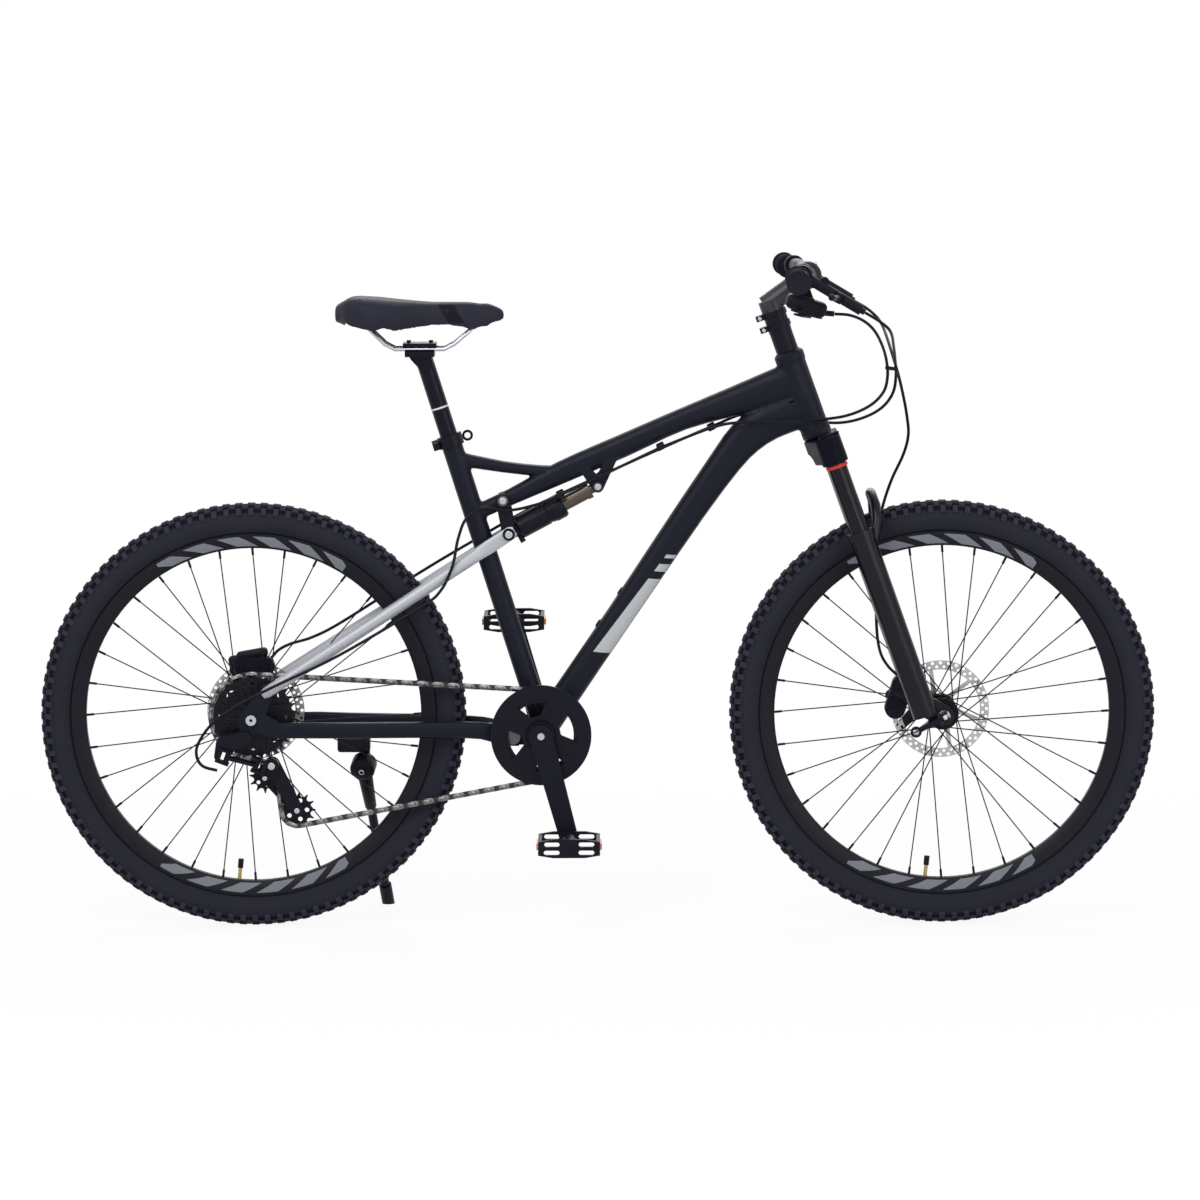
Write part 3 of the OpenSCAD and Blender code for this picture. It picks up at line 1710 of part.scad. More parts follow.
module chain_guard() {
  out = spider_out + 3.5;
  color(rubber) {
    slab(-out, -spider_out - weld)
      translate(bb)
        difference() {
          circle(r = guard_r, $fn = 96);
          circle(r = 25);
          for (a = arm_turns)
            rotate(a + 45)
              polygon(concat(
                [for (a = [-25 : 5 : 25]) 59 * [cos(a), sin(a)]],
                [for (a = [14 : -7 : -14]) 32 * [cos(a), sin(a)]]
              ));
        }
    // Raised lip round the edge
    slab(-out, -spider_out + 1.5)
      translate(bb)
        difference() {
          circle(r = guard_r, $fn = 96);
          circle(r = guard_r - 2.5, $fn = 96);
        }
  }
}

right_pedal_at = bb + crank_len * [sin(crank_turn), -cos(crank_turn)];
left_pedal_at = bb - crank_len * [sin(crank_turn), -cos(crank_turn)];
crank_in = 62;
crank_out = 76;
pedal_in = crank_out + 4;
pedal_w = 96;
pedal_pin_d = 14;

module crank_arms() {
  color(black) {
    for (side = [[-crank_out, right_pedal_at], [crank_in, left_pedal_at]])
      slab(side[0], side[0] + crank_out - crank_in)
        difference() {
          link_2d(bb, 19, side[1], 15);
          translate(bb)
            circle(d = 12);
        }
    // Spindle, its bolts, and the spider that carries the ring
    pin(bb, spindle_d, -crank_in, crank_in);
    pin(bb, 46, -crank_in, -chainline - tooth_t / 2 - 4);
    both_sides()
      pin(bb, 11.6, crank_in + weld, crank_out - 2);
    slab(-spider_out, -chainline - tooth_t / 2 - weld)
      for (a = arm_turns)
        link_2d(bb, 24, bb + ring_bolt_r * turned([1, 0], a), 7);
    // Pedal axles
    pin(right_pedal_at, pedal_pin_d, -pedal_in - pedal_w + 14, -crank_out);
    pin(left_pedal_at, pedal_pin_d, crank_out, pedal_in + pedal_w - 14);
  }
}

// A cage pedal: two end plates with four windows, a barrel, and the front and rear treads
module pedal() {
  half = 50;
  plate = 7;
  color(black)
    difference() {
      union() {
        for (y = [0, pedal_w - plate])
          slab(y, y + plate)
            difference() {
              polygon([
                [-half, -11], [-half, 11], [-26, 15], [26, 15], [half, 11], [half, -11],
                [26, -15], [-26, -15]
              ]);
              for (sx = [-1, 1], sz = [-1, 1])
                translate([sx * 28, sz * 6.6])
                  link_2d([-9, 0], 3.8, [9, 0], 3.8);
            }
        pin([0, 0], 25, 0, pedal_w);
        for (s = [-1, 1])
          slab(0, pedal_w)
            translate([s > 0 ? half - 6 : -half, -11])
              square([6, 22]);
      }
      pin([0, 0], pedal_pin_d + 2 * run, -1, pedal_w - 13.5);
    }
  // Amber reflectors
  color(amber)
    for (s = [-1, 1])
      slab(22, pedal_w - 22)
        translate([s > 0 ? half + weld : -half - 3, -5])
          square([3 - weld, 10]);
}

module left_pedal() {
  translate([left_pedal_at[0], pedal_in, left_pedal_at[1]])
    pedal();
}

module right_pedal() {
  translate([right_pedal_at[0], -pedal_in, right_pedal_at[1]])
    mirror([0, 1, 0])
      pedal();
}

module cassette() {
  bore = freehub_r + 0.25;
  last = len(cog_teeth) - 1;
  color(black)
    difference() {
      union() {
        sprocket(3, -cog_line)
          for (k = [0 : 7])
            rotate(k * 45)
              translate([46, 0])
                circle(r = 10);
        for (i = [1 : last])
          translate([rear_axle_at[0], -cog_line - i * cog_step + tooth_t / 2, rear_axle_at[1]])
            rotate([90, 0, 0])
              linear_extrude(height = tooth_t)
                polygon(teeth(cog_teeth[i], 0));
        pin(rear_axle_at, 37, -cog_line - last * cog_step - 1, -cog_line + tooth_t / 2);
      }
      pin(rear_axle_at, 2 * bore, -100, 0);
    }
}

// Rear derailleur

link_foot = rear_axle_at + [-39, -60];
link_head = rear_axle_at + [6, -77];
link_foot_y = -84;
link_head_y = -50;
link_lean = -heading(link_head - link_foot);
link_side = 7;
link_pin_d = 4;
body_t = 13;

// A frame at one end of the links, with its z along their pins
module at_link(p, y) {
  translate([p[0], y, p[1]])
    rotate([0, link_lean, 0])
      children();
}

// The fork that holds two link pins, open towards the other end of the links
module link_fork() {
  translate([-17, -13, -12])
    cube([23, 26, 24]);
}

module link_mouth() {
  translate([-10, -20, -8])
    cube([60, 40, 16]);
}

module link_pins() {
  for (s = [-1, 1])
    translate([0, s * link_side, -10])
      cylinder(d = link_pin_d, h = 20);
}

module derailleur_body() {
  out = drop_in + drop_t;
  color(black) {
    difference() {
      union() {
        slab(-out - body_t, -out - gap) {
          link_2d(hanger, 11, link_foot + [-4, 22], 14);
          link_2d(link_foot + [-4, 22], 14, link_foot + [-13, 2], 8);
        }
        pin(hanger, 8, -out - 1, -drop_in);
        at_link(link_foot, link_foot_y)
          link_fork();
      }
      at_link(link_foot, link_foot_y)
        link_mouth();
    }
    at_link(link_foot, link_foot_y)
      link_pins();
  }
}

module derailleur_link(side) {
  a = [link_foot[0], link_foot_y + side * link_side, link_foot[1]];
  b = [link_head[0], link_head_y + side * link_side, link_head[1]];
  color(black)
    difference() {
      union() {
        for (p = [a, b])
          at_link([p[0], p[2]], p[1])
            cylinder(d = 9, h = 15.2, center = true);
        rod(a, b, 7);
      }
      for (p = [a, b])
        at_link([p[0], p[2]], p[1])
          cylinder(d = link_pin_d + 2 * run, h = 30, center = true);
    }
}

module derailleur_inner_link() {
  derailleur_link(1);
}

module derailleur_outer_link() {
  derailleur_link(-1);
}

cage_y_out = -cog_line - 7;
cage_y_in = -cog_line + 7;
cage_pin_d = 10;

module derailleur_knuckle() {
  color(black) {
    difference() {
      union() {
        slab(link_head_y - 4, cage_y_out - 2 - gap)
          link_2d(cage_pivot, 12, link_head + [13, -4], 10);
        at_link(link_head, link_head_y)
          mirror([1, 0, 0])
            link_fork();
      }
      at_link(link_head, link_head_y)
        mirror([1, 0, 0])
          link_mouth();
      pin(cage_pivot, cage_pin_d + 2 * run, -100, 0);
    }
    at_link(link_head, link_head_y)
      link_pins();
  }
}

module derailleur_cage() {
  guide = loop[2][0];
  tension = loop[1][0];
  color(black) {
    slab(cage_y_out - 2, cage_y_out) {
      link_2d(cage_pivot, 13, guide, 9);
      link_2d(cage_pivot, 13, tension, 11);
    }
    slab(cage_y_in, cage_y_in + 2)
      link_2d(guide, 9, tension, 11);
    pin(cage_pivot, cage_pin_d, link_head_y - 6, cage_y_out - 1);
    pin(guide, 6, cage_y_out - 3, cage_y_in + 3);
    pin(tension, 6, cage_y_out - 3, cage_y_in + 3);
  }
}

module pulley(i) {
  color(black)
    difference() {
      union() {
        sprocket(i, -cog_line, 2.2)
          for (k = [0 : 4])
            rotate(k * 72)
              translate([loop[i][1] * 0.6, 0])
                circle(r = loop[i][1] * 0.14);
        pin(loop[i][0], 12, -cog_line - 6, -cog_line + 6);
      }
      pin(loop[i][0], 6 + 2 * run, -100, 0);
    }
}

module guide_pulley() {
  pulley(2);
}

module tension_pulley() {
  pulley(1);
}

// Cords, along points chosen by eye

hose_d = 5;

shift_route = [
  [381.3, -144, 1007.2], [406, -144.5, 1005], [429, -136, 995], [447, -112, 978], [461, -74, 953],
  [470, -38, 926], [473, -16, 899], [467, -14, 874], [446, -24, 853], [412, -33, 838], [372, -35, 831],
  [315, -35, 828], [234, -32, 826], [187, -28, 817], [104, -24, 785], [-60, -24, 708], [-110, -28, 690],
  [-148, -31, 684], [-184, -33, 688], [-212, -36, 672], [-226, -42, 638], [-235, -51, 595],
  [-255, -58, 555], [-290, -64, 528], [-420, -77, 453], [-530, -92, 402], [-590, -98, 371],
  [-626, -100, 344], [-648, -100, 312], [-650, -98, 290], [-640, -95, 275], [-618, -92, 268]
];
rear_hose_route = [
  [428.2, -185, 1011.2], [448, -185, 999.4], [465, -174, 986], [473, -146, 973], [478, -100, 955],
  [483, -50, 932], [487, -10, 901], [483, 8, 870], [465, 18, 845], [434, 25, 828], [395, 30, 820],
  [345, 34, 824], [252, 32, 836], [188, 28, 815], [72, 26, 765], [-59, 26, 706], [-120, 32, 676],
  [-200, 38, 630], [-290, 62, 575], [-420, 76, 492], [-470, 80, 466], [-505, 74, 456], [-525, 62, 447],
  [-536, 51.6, 435.8]
];
front_hose_route = [
  [428.2, 185, 1011.2], [448, 185, 999.4], [465, 174, 985], [473, 146, 972], [478, 100, 955],
  [484, 52, 931], [492, 14, 900], [500, 14, 866], [507, 32, 832], [511, 57, 798], [504, 78, 764],
  [484, 90, 718], [468, 93, 665], [459, 93, 600], [460, 92, 530], [461, 83, 472], [466, 66, 438],
  [477, 49, 418], [491, 36, 404.8]
];

module shift_housing() {
  color(rubber)
    cord(shift_route, hose_d);
}

module rear_brake_hose() {
  color(rubber)
    cord(rear_hose_route, hose_d);
}

module front_brake_hose() {
  color(rubber)
    cord(front_hose_route, hose_d);
}

head_tube();
top_tube();
down_tube();
seat_tube();
bottom_bracket();
seat_clamp();
seat_clamp_lever();
pivot_bolts();
shift_housing();
rear_brake_hose();
front_brake_hose();
seatpost();
saddle_base();
saddle_pad();
fork_crown();
stanchions();
stem();
handlebar();
grips();
control_bodies();
right_brake_lever();
left_brake_lever();
shift_lever();
fork_lowers();
front_caliper();
front_skewer();
front_qr_lever();
front_tyre();
front_rim();
front_spokes();
front_hub();
front_rotor();
rear_tyre();
rear_rim();
rear_spokes();
rear_hub();
rear_rotor();
chain_stays();
dropouts();
rear_axle();
rear_caliper();
kickstand();
seat_stays();
rocker();
shock_can();
shock_shaft();
cassette();
chainring();
chain_guard();
crank_arms();
right_pedal();
left_pedal();
derailleur_body();
derailleur_inner_link();
derailleur_outer_link();
derailleur_knuckle();
derailleur_cage();
guide_pulley();
tension_pulley();
chain();
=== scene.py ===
import math

import bpy
from bpy.props import FloatProperty, FloatVectorProperty, IntProperty, PointerProperty
from mathutils import Matrix, Vector
from mathutils.bvhtree import BVHTree


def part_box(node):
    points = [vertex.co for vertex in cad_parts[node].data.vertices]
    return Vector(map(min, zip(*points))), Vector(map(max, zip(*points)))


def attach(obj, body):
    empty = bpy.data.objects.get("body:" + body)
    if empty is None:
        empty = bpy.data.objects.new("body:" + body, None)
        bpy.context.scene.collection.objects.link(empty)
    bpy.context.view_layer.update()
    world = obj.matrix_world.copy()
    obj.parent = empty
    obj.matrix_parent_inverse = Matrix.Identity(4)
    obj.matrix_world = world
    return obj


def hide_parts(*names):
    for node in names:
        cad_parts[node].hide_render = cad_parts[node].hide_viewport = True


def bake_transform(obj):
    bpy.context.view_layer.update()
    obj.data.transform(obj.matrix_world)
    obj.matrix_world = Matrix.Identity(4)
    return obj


bl_info = {
    "name": "Mountain Bike Dressing",
    "version": (1, 0, 0),
    "blender": (4, 5, 0),
    "location": "View3D > Sidebar > Bike",
    "description": "Finishes and soft pieces of a full-suspension mountain bike",
    "category": "Object",
}

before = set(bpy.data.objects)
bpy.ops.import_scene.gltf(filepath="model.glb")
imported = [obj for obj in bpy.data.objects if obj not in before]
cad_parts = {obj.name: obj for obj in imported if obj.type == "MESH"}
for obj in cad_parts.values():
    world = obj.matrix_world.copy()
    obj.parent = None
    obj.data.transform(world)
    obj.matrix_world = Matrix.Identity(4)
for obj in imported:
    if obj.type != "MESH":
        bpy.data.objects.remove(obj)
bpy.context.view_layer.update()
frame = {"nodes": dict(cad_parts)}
SOLIDS = frame["nodes"]
MM = 0.001
SAME_POINT = 2e-6

# Main points of the bike, in metres
FRONT_AXLE = Vector((0.563, 0.0, 0.348))
REAR_AXLE = Vector((-0.563, 0.0, 0.348))
CRANK_AXLE = Vector((-0.0925, 0.0, 0.3185))
SEAT_FOOT = CRANK_AXLE + Vector((0.005, 0.0, 0.0))
HEAD_TILT = math.radians(19.5)
SEAT_TILT = math.radians(17.5)
RAKE = 0.040
STEM_FOOT = 0.6764
ROCKER_PIVOT = Vector((-0.153, 0.0, 0.699))
SHOCK_FOOT = Vector((-0.1435, 0.0, 0.6445))
SHOCK_HEAD = Vector((0.0016, 0.0, 0.721))
CAGE_PIVOT = Vector((-0.532, 0.0, 0.270))
GUIDE_AXLE = Vector((-0.5443, 0.0, 0.2474))
TENSION_AXLE = Vector((-0.4922, 0.0, 0.1937))
KICK_PIVOT = Vector((-0.3875, 0.072, 0.252))
KICK_TIP = Vector((-0.3535, 0.212, 0.0))
KICK_AXIS = Vector((0.162, 0.865, 0.476)).normalized()

# Gloss and spread of shade that finishes share, and the ends of the frame's stripes along the down tube
PAINT_GLOSS = 0.12
RUBBER_GLOSS = 0.08
PAINT_SHADES = (0.85, 1.2)
STRIPE_ENDS = ((0.165, 0.315), (0.33, 0.345), (0.357, 0.364))


def leaned(point, foot, tilt):
    """A point given in a frame that leans back from upright, in the bike's frame."""
    x, y, z = point
    return foot + Vector((
        x * math.cos(tilt) - z * math.sin(tilt),
        y,
        x * math.sin(tilt) + z * math.cos(tilt),
    ))


def on_steering(x, y, z):
    """A point of the steering frame, in millimetres, in the bike's frame."""
    return leaned((x * MM - RAKE, y * MM, z * MM), FRONT_AXLE, HEAD_TILT)


def on_seat(x, y, z):
    """A point of the seat tube's frame, in millimetres, in the bike's frame."""
    return leaned((x * MM, y * MM, z * MM), SEAT_FOOT, SEAT_TILT)


# Selecting and finishing pieces


def object_mode():
    """Leave edit mode."""
    bpy.ops.object.mode_set(mode="OBJECT")


def deselect():
    """Leave edit mode with nothing selected."""
    active = bpy.context.view_layer.objects.active
    if active is not None and active.mode != "OBJECT":
        object_mode()
    bpy.ops.object.select_all(action="DESELECT")


def activate(piece):
    """Make one piece the only selected one."""
    deselect()
    piece.select_set(True)
    bpy.context.view_layer.objects.active = piece


def edit(piece):
    """Enter edit mode on one piece with everything in it selected."""
    activate(piece)
    bpy.ops.object.mode_set(mode="EDIT")
    bpy.ops.mesh.select_mode(type="VERT")
    bpy.ops.mesh.select_all(action="SELECT")


def pick(piece, test, mode="VERT"):
    """Enter edit mode with the vertices, or the faces, that pass a test on their place."""
    activate(piece)
    mesh = piece.data
    for group in (mesh.vertices, mesh.edges, mesh.polygons):
        for item in group:
            item.select = False
    if mode == "VERT":
        for vertex in mesh.vertices:
            vertex.select = test(piece.matrix_world @ vertex.co)
    else:
        for face in mesh.polygons:
            face.select = test(piece.matrix_world @ face.center, face.normal)
    bpy.ops.object.mode_set(mode="EDIT")
    bpy.ops.mesh.select_mode(type=mode)


def join(pieces):
    """Join pieces into the first one."""
    deselect()
    for piece in pieces:
        piece.select_set(True)
    bpy.context.view_layer.objects.active = pieces[0]
    if len(pieces) > 1:
        bpy.ops.object.join()
    return pieces[0]


def settle(piece, name, angle=35.0):
    """Name a piece, put its place into its mesh and shade it by its edges."""
    activate(piece)
    bpy.ops.object.transform_apply(location=True, rotation=True, scale=True)
    piece.name = name
    piece.data.name = name
    bpy.ops.object.shade_smooth_by_angle(angle=math.radians(angle))
    return piece


def tidy_faces(piece, distance=1e-6):
    """Merge doubled points and turn every face outwards."""
    edit(piece)
    bpy.ops.mesh.remove_doubles(threshold=distance)
    bpy.ops.mesh.normals_make_consistent(inside=False)
    object_mode()


def use_modifier(piece, kind, **settings):
    """Add a modifier to a piece and apply it."""
    activate(piece)
    bpy.ops.object.modifier_add(type=kind)
    modifier = piece.modifiers[-1]
    for key, value in settings.items():
        setattr(modifier, key, value)
    bpy.ops.object.modifier_apply(modifier=modifier.name)


def add(primitive, **settings):
    """A new mesh from one of the primitive operators, with its place in its points."""
    deselect()
    primitive(**settings)
    bpy.ops.object.transform_apply(location=True, rotation=True, scale=True)
    return bpy.context.active_object


def facing(way, least=0.9):
    """A test for the faces that look along a direction."""
    return lambda place, normal: normal.dot(way) > least


def bevel_faces(piece, test, width, segments=2):
    """Round the edges of the faces that pass a test."""
    pick(piece, test, "FACE")
    bpy.ops.mesh.bevel(offset=width, segments=segments, affect="EDGES")
    object_mode()


def remesh(piece, voxel):
    """Skin a piece anew with one closed surface of even faces."""
    activate(piece)
    piece.data.remesh_voxel_size = voxel
    bpy.ops.object.voxel_remesh()


def aim(way):
    """The turn that brings the upright axis into a direction."""
    return way.to_track_quat("Z", "Y").to_euler()


def hand_over(piece, body, finish, replaced=()):
    """Give a finished piece its material, the body it rides on and the solids it stands for."""
    piece.data.materials.clear()
    piece.data.materials.append(finish_named(finish))
    if body is not None:
        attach(piece, body)
    if replaced:
        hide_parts(*replaced)


def copy_solids(names, title):
    """One merged mesh copied from some solids."""
    copies = []
    for name in names:
        piece = bpy.data.objects.new(title, SOLIDS[name].data.copy())
        bpy.context.scene.collection.objects.link(piece)
        copies.append(piece)
    whole = join(copies)
    edit(whole)
    bpy.ops.mesh.remove_doubles(threshold=SAME_POINT)
    object_mode()
    return whole


def separate_solids(mesh):
    """The solid that each vertex belongs to, and each solid's reach from right to left."""
    first = {}
    owner = []
    for vertex in mesh.vertices:
        spot = tuple(round(value, 6) for value in vertex.co)
        owner.append(first.setdefault(spot, vertex.index))

    def root(index):
        while owner[index] != index:
            owner[index] = owner[owner[index]]
            index = owner[index]
        return index

    for edge in mesh.edges:
        a, b = edge.vertices
        owner[root(a)] = root(b)
    owner = [root(index) for index in range(len(owner))]
    spans = {}
    for vertex, solid in zip(mesh.vertices, owner):
        low, high = spans.get(solid, (1.0, -1.0))
        spans[solid] = (min(low, vertex.co.y), max(high, vertex.co.y))
    return owner, spans


# Building blocks of the finishes


def put(node, **values):
    """Set sockets of a node by their names, with underscores for spaces."""
    for key, value in values.items():
        node.inputs[key.replace("_", " ")].default_value = value
    return node


class Finish:
    """A material on object coordinates, with the few nodes that the finishes share."""

    def __init__(self, name):
        self.material = bpy.data.materials.new(name)
        self.material.use_nodes = True
        self.tree = self.material.node_tree
        self.shader = self.tree.nodes["Principled BSDF"]
        self.place = self.node("ShaderNodeTexCoord").outputs["Object"]

    def node(self, kind, **settings):
        node = self.tree.nodes.new(kind)
        for key, value in settings.items():
            setattr(node, key, value)
        return node

    def link(self, source, target):
        self.tree.links.new(source, target)

    def mapped(self, scale, rotation):
        mapping = put(self.node("ShaderNodeMapping"), Scale=scale, Rotation=rotation)
        self.link(self.place, mapping.inputs["Vector"])
        return mapping.outputs["Vector"]

    def noise(self, scale, detail=3.0, place=None):
        noise = put(self.node("ShaderNodeTexNoise"), Scale=scale, Detail=detail)
        self.link(place or self.place, noise.inputs["Vector"])
        return noise.outputs["Fac"]

    def cells(self, scale, feature="F1"):
        cells = put(self.node("ShaderNodeTexVoronoi", feature=feature), Scale=scale)
        self.link(self.place, cells.inputs["Vector"])
        return cells.outputs["Distance"]

    def math(self, operation, a, b=None):
        node = self.node("ShaderNodeMath", operation=operation)
        for socket, value in zip(node.inputs, (a, b)):
            if value is None:
                continue
            if isinstance(value, (int, float)):
                socket.default_value = value
            else:
                self.link(value, socket)
        return node.outputs["Value"]

    def product(self, first, *others):
        for other in others:
            first = self.math("MULTIPLY", first, other)
        return first

    def axis(self, direction, origin=(0, 0, 0)):
        """Distance from an origin along a direction."""
        away = self.node("ShaderNodeVectorMath", operation="SUBTRACT")
        self.link(self.place, away.inputs[0])
        away.inputs[1].default_value = origin
        dot = self.node("ShaderNodeVectorMath", operation="DOT_PRODUCT")
        self.link(away.outputs["Vector"], dot.inputs[0])
        dot.inputs[1].default_value = direction
        return dot.outputs["Value"]

    def wheel(self, axle):
        """Distances ahead of a wheel's axle, above it and from it."""
        ahead = self.axis((1, 0, 0), axle)
        above = self.axis((0, 0, 1), axle)
        squares = (self.product(value, value) for value in (ahead, above))
        return ahead, above, self.math("SQRT", self.math("ADD", *squares))

    def ramp(self, fac, low, high):
        """Spread the middle of a noise between two values."""
        node = self.node("ShaderNodeMapRange", clamp=True)
        put(node, From_Min=0.3, From_Max=0.7, To_Min=low, To_Max=high)
        self.link(fac, node.inputs["Value"])
        return node.outputs["Result"]

    def mix(self, fac, low, high):
        node = self.node("ShaderNodeMix", data_type="RGBA")
        self.link(fac, node.inputs["Factor"])
        for socket, value in ((node.inputs[6], low), (node.inputs[7], high)):
            if isinstance(value, (tuple, list)):
                socket.default_value = (*value[:3], 1.0)
            else:
                self.link(value, socket)
        return node.outputs[2]

    def shades(self, fac, colour, low, high):
        """Two shades of one colour, mixed."""
        return self.mix(fac, shade(colour, low), shade(colour, high))

    def inside(self, value, low, high):
        """One between two limits and zero outside them."""
        above = self.math("GREATER_THAN", value, low)
        below = self.math("LESS_THAN", value, high)
        return self.product(above, below)

    def colour(self, socket):
        self.link(socket, self.shader.inputs["Base Color"])

    def finished(self, gloss, relief, strength, distance=0.0005, **values):
        """Put on an uneven gloss, a relief and plain values, and give the material."""
        bump = put(self.node("ShaderNodeBump"), Strength=strength, Distance=distance)
        self.link(relief, bump.inputs["Height"])
        self.link(bump.outputs["Normal"], self.shader.inputs["Normal"])
        self.link(gloss, self.shader.inputs["Roughness"])
        put(self.shader, **values)
        return self.material


def shade(colour, factor):
    """A colour made darker or lighter."""
    return tuple(channel * factor for channel in colour[:3])


def plain_finish(name, colour, rough, metallic=0.0, grain=900.0, depth=0.08, spread=0.25, gloss=0.5):
    """A finish with a slow drift of colour, uneven gloss and a fine grain."""
    finish = Finish(name)
    finish.colour(finish.shades(finish.noise(14.0), colour, 1 - spread, 1 + spread))
    uneven = finish.ramp(finish.noise(60.0), rough - 0.05, rough + 0.06)
    return finish.finished(
        uneven, finish.noise(grain, 2.0), depth, Metallic=metallic, Specular_IOR_Level=gloss)


def brushed_finish(name, colour, rough, along, metallic=1.0):
    """Metal with fine lines along one direction of the bike's side view."""
    finish = Finish(name)
    lines = finish.mapped(scale=(30, 900, 900), rotation=(0, along, 0))
    streaks = finish.noise(1.0, 2.0, lines)
    finish.colour(finish.shades(streaks, colour, 0.95, 1.04))
    uneven = finish.ramp(streaks, rough - 0.03, rough + 0.04)
    return finish.finished(uneven, streaks, 0.015, 0.0001, Metallic=metallic)


def rubber_finish(name, colour, rough):
    """Matt rubber with a dusty drift and a fine skin."""
    finish = Finish(name)
    dust = finish.noise(22.0, 6.0)
    finish.colour(finish.shades(dust, colour, 0.8, 1.35))
    uneven = finish.ramp(dust, rough - 0.06, rough + 0.08)
    return finish.finished(uneven, finish.noise(1400.0), 0.2, 0.0003, Specular_IOR_Level=RUBBER_GLOSS)


def plastic_finish(name, colour, rough=0.48):
    """Moulded plastic with a fine pebbled skin."""
    finish = Finish(name)
    finish.colour(finish.shades(finish.noise(30.0), colour, *PAINT_SHADES))
    uneven = finish.ramp(finish.noise(90.0), rough - 0.05, rough + 0.07)
    return finish.finished(uneven, finish.cells(1600.0), 0.16, 0.0002, Specular_IOR_Level=0.14)


def frame_finish(name, colour, stripe):
    """Satin paint with a plain pale stripe along the down tube."""
    finish = Finish(name)
    reach = finish.axis((0.6046, 0.0, 0.7965), CRANK_AXLE)
    height = finish.axis((-0.7965, 0.0, 0.6046), CRANK_AXLE)
    slant = finish.math("ADD", reach, finish.product(height, 0.6))
    mask, *others = (finish.inside(slant, *ends) for ends in STRIPE_ENDS)
    for other in others:
        mask = finish.math("MAXIMUM", mask, other)
    band = finish.inside(height, -0.0145, 0.0125)
    side = finish.math("GREATER_THAN", finish.math("ABSOLUTE", finish.axis((0, 1, 0))), 0.012)
    mask = finish.product(mask, band, side)
    paint = finish.shades(finish.noise(9.0), colour, *PAINT_SHADES)
    finish.colour(finish.mix(mask, paint, tuple(stripe)))
    uneven = finish.ramp(finish.noise(45.0), 0.36, 0.46)
    return finish.finished(uneven, finish.noise(700.0), 0.06, 0.0003, Specular_IOR_Level=PAINT_GLOSS)


def rim_finish(name, colour, stripe, axle):
    """Black rim with two fields of plain slanted bars."""
    finish = Finish(name)
    ahead, above, radius = finish.wheel(axle)
    turn = finish.math("ARCTAN2", ahead, finish.math("ABSOLUTE", above))
    field = finish.inside(turn, -0.56, 0.56)
    slant = finish.math("ADD", finish.product(turn, 5.0), finish.product(radius, 34.0))
    bars = finish.math("LESS_THAN", finish.math("FRACT", slant), 0.62)
    band = finish.inside(radius, 0.2775, 0.2935)
    mask = finish.product(field, bars, band)
    black = finish.shades(finish.noise(12.0), colour, *PAINT_SHADES)
    finish.colour(finish.mix(mask, black, tuple(stripe)))
    uneven = finish.ramp(finish.noise(70.0), 0.38, 0.5)
    return finish.finished(
        uneven, finish.noise(900.0, 2.0), 0.05, 0.0002, Specular_IOR_Level=PAINT_GLOSS)


def post_finish(name, colour, mark):
    """Black seat post with a thin pale height mark."""
    finish = Finish(name)
    axis = Vector((-math.sin(SEAT_TILT), 0.0, math.cos(SEAT_TILT)))
    ring = finish.inside(finish.axis(axis, SEAT_FOOT), 0.5555, 0.5585)
    black = finish.shades(finish.noise(12.0), colour, *PAINT_SHADES)
    finish.colour(finish.mix(ring, black, mark))
    uneven = finish.ramp(finish.noise(60.0), 0.26, 0.36)
    return finish.finished(
        uneven, finish.noise(900.0, 2.0), 0.04, 0.0002, Specular_IOR_Level=PAINT_GLOSS)


def tyre_finish(name, colour, axle):
    """Tyre rubber with fine rings round the sidewalls, and painted shade in the grooves between the
    knobs and along the bead at the rim.
    """
    finish = Finish(name)
    radius = finish.wheel(axle)[2]
    rings = finish.math("SINE", finish.product(radius, 3500.0))
    wall = finish.product(rings, finish.inside(radius, 0.298, 0.3165))
    dust = finish.noise(22.0, 6.0)
    skin = finish.math("ADD", wall, finish.product(finish.noise(1400.0), 0.6))
    # Painted shade: the tread between the knobs and the bead where the tyre meets the rim are darkened
    # to a third of the rubber's colour
    groove_shade = finish.math("GREATER_THAN", radius, 0.3325)
    bead_shade = finish.inside(radius, 0.29, 0.3005)
    dark = finish.math("MAXIMUM", groove_shade, bead_shade)
    rubber = finish.shades(dust, colour, 0.85, 1.3)
    finish.colour(finish.mix(dark, rubber, shade(colour, 0.3)))
    uneven = finish.ramp(dust, 0.62, 0.78)
    return finish.finished(uneven, skin, 0.35, 0.0004, Specular_IOR_Level=RUBBER_GLOSS)


def leather_finish(name, colour):
    """Pebbled synthetic leather for the saddle cover."""
    finish = Finish(name)
    finish.colour(finish.shades(finish.noise(26.0), colour, 0.8, 1.3))
    uneven = finish.ramp(finish.noise(120.0), 0.5, 0.62)
    pebbles = finish.cells(900.0, "SMOOTH_F1")
    return finish.finished(
        uneven, pebbles, 0.25, 0.0004, Specular_IOR_Level=PAINT_GLOSS, Sheen_Weight=0.02,
        Sheen_Roughness=0.5)


def lens_finish(name, colour, rough):
    """Clear moulded lens with fine prisms inside."""
    finish = Finish(name)
    prisms = finish.cells(700.0)
    finish.colour(finish.shades(prisms, colour, 0.6, 1.25))
    uneven = finish.ramp(finish.noise(50.0), rough - 0.04, rough + 0.06)
    return finish.finished(uneven, prisms, 0.3, 0.0003, Coat_Weight=0.6, Coat_Roughness=0.08)


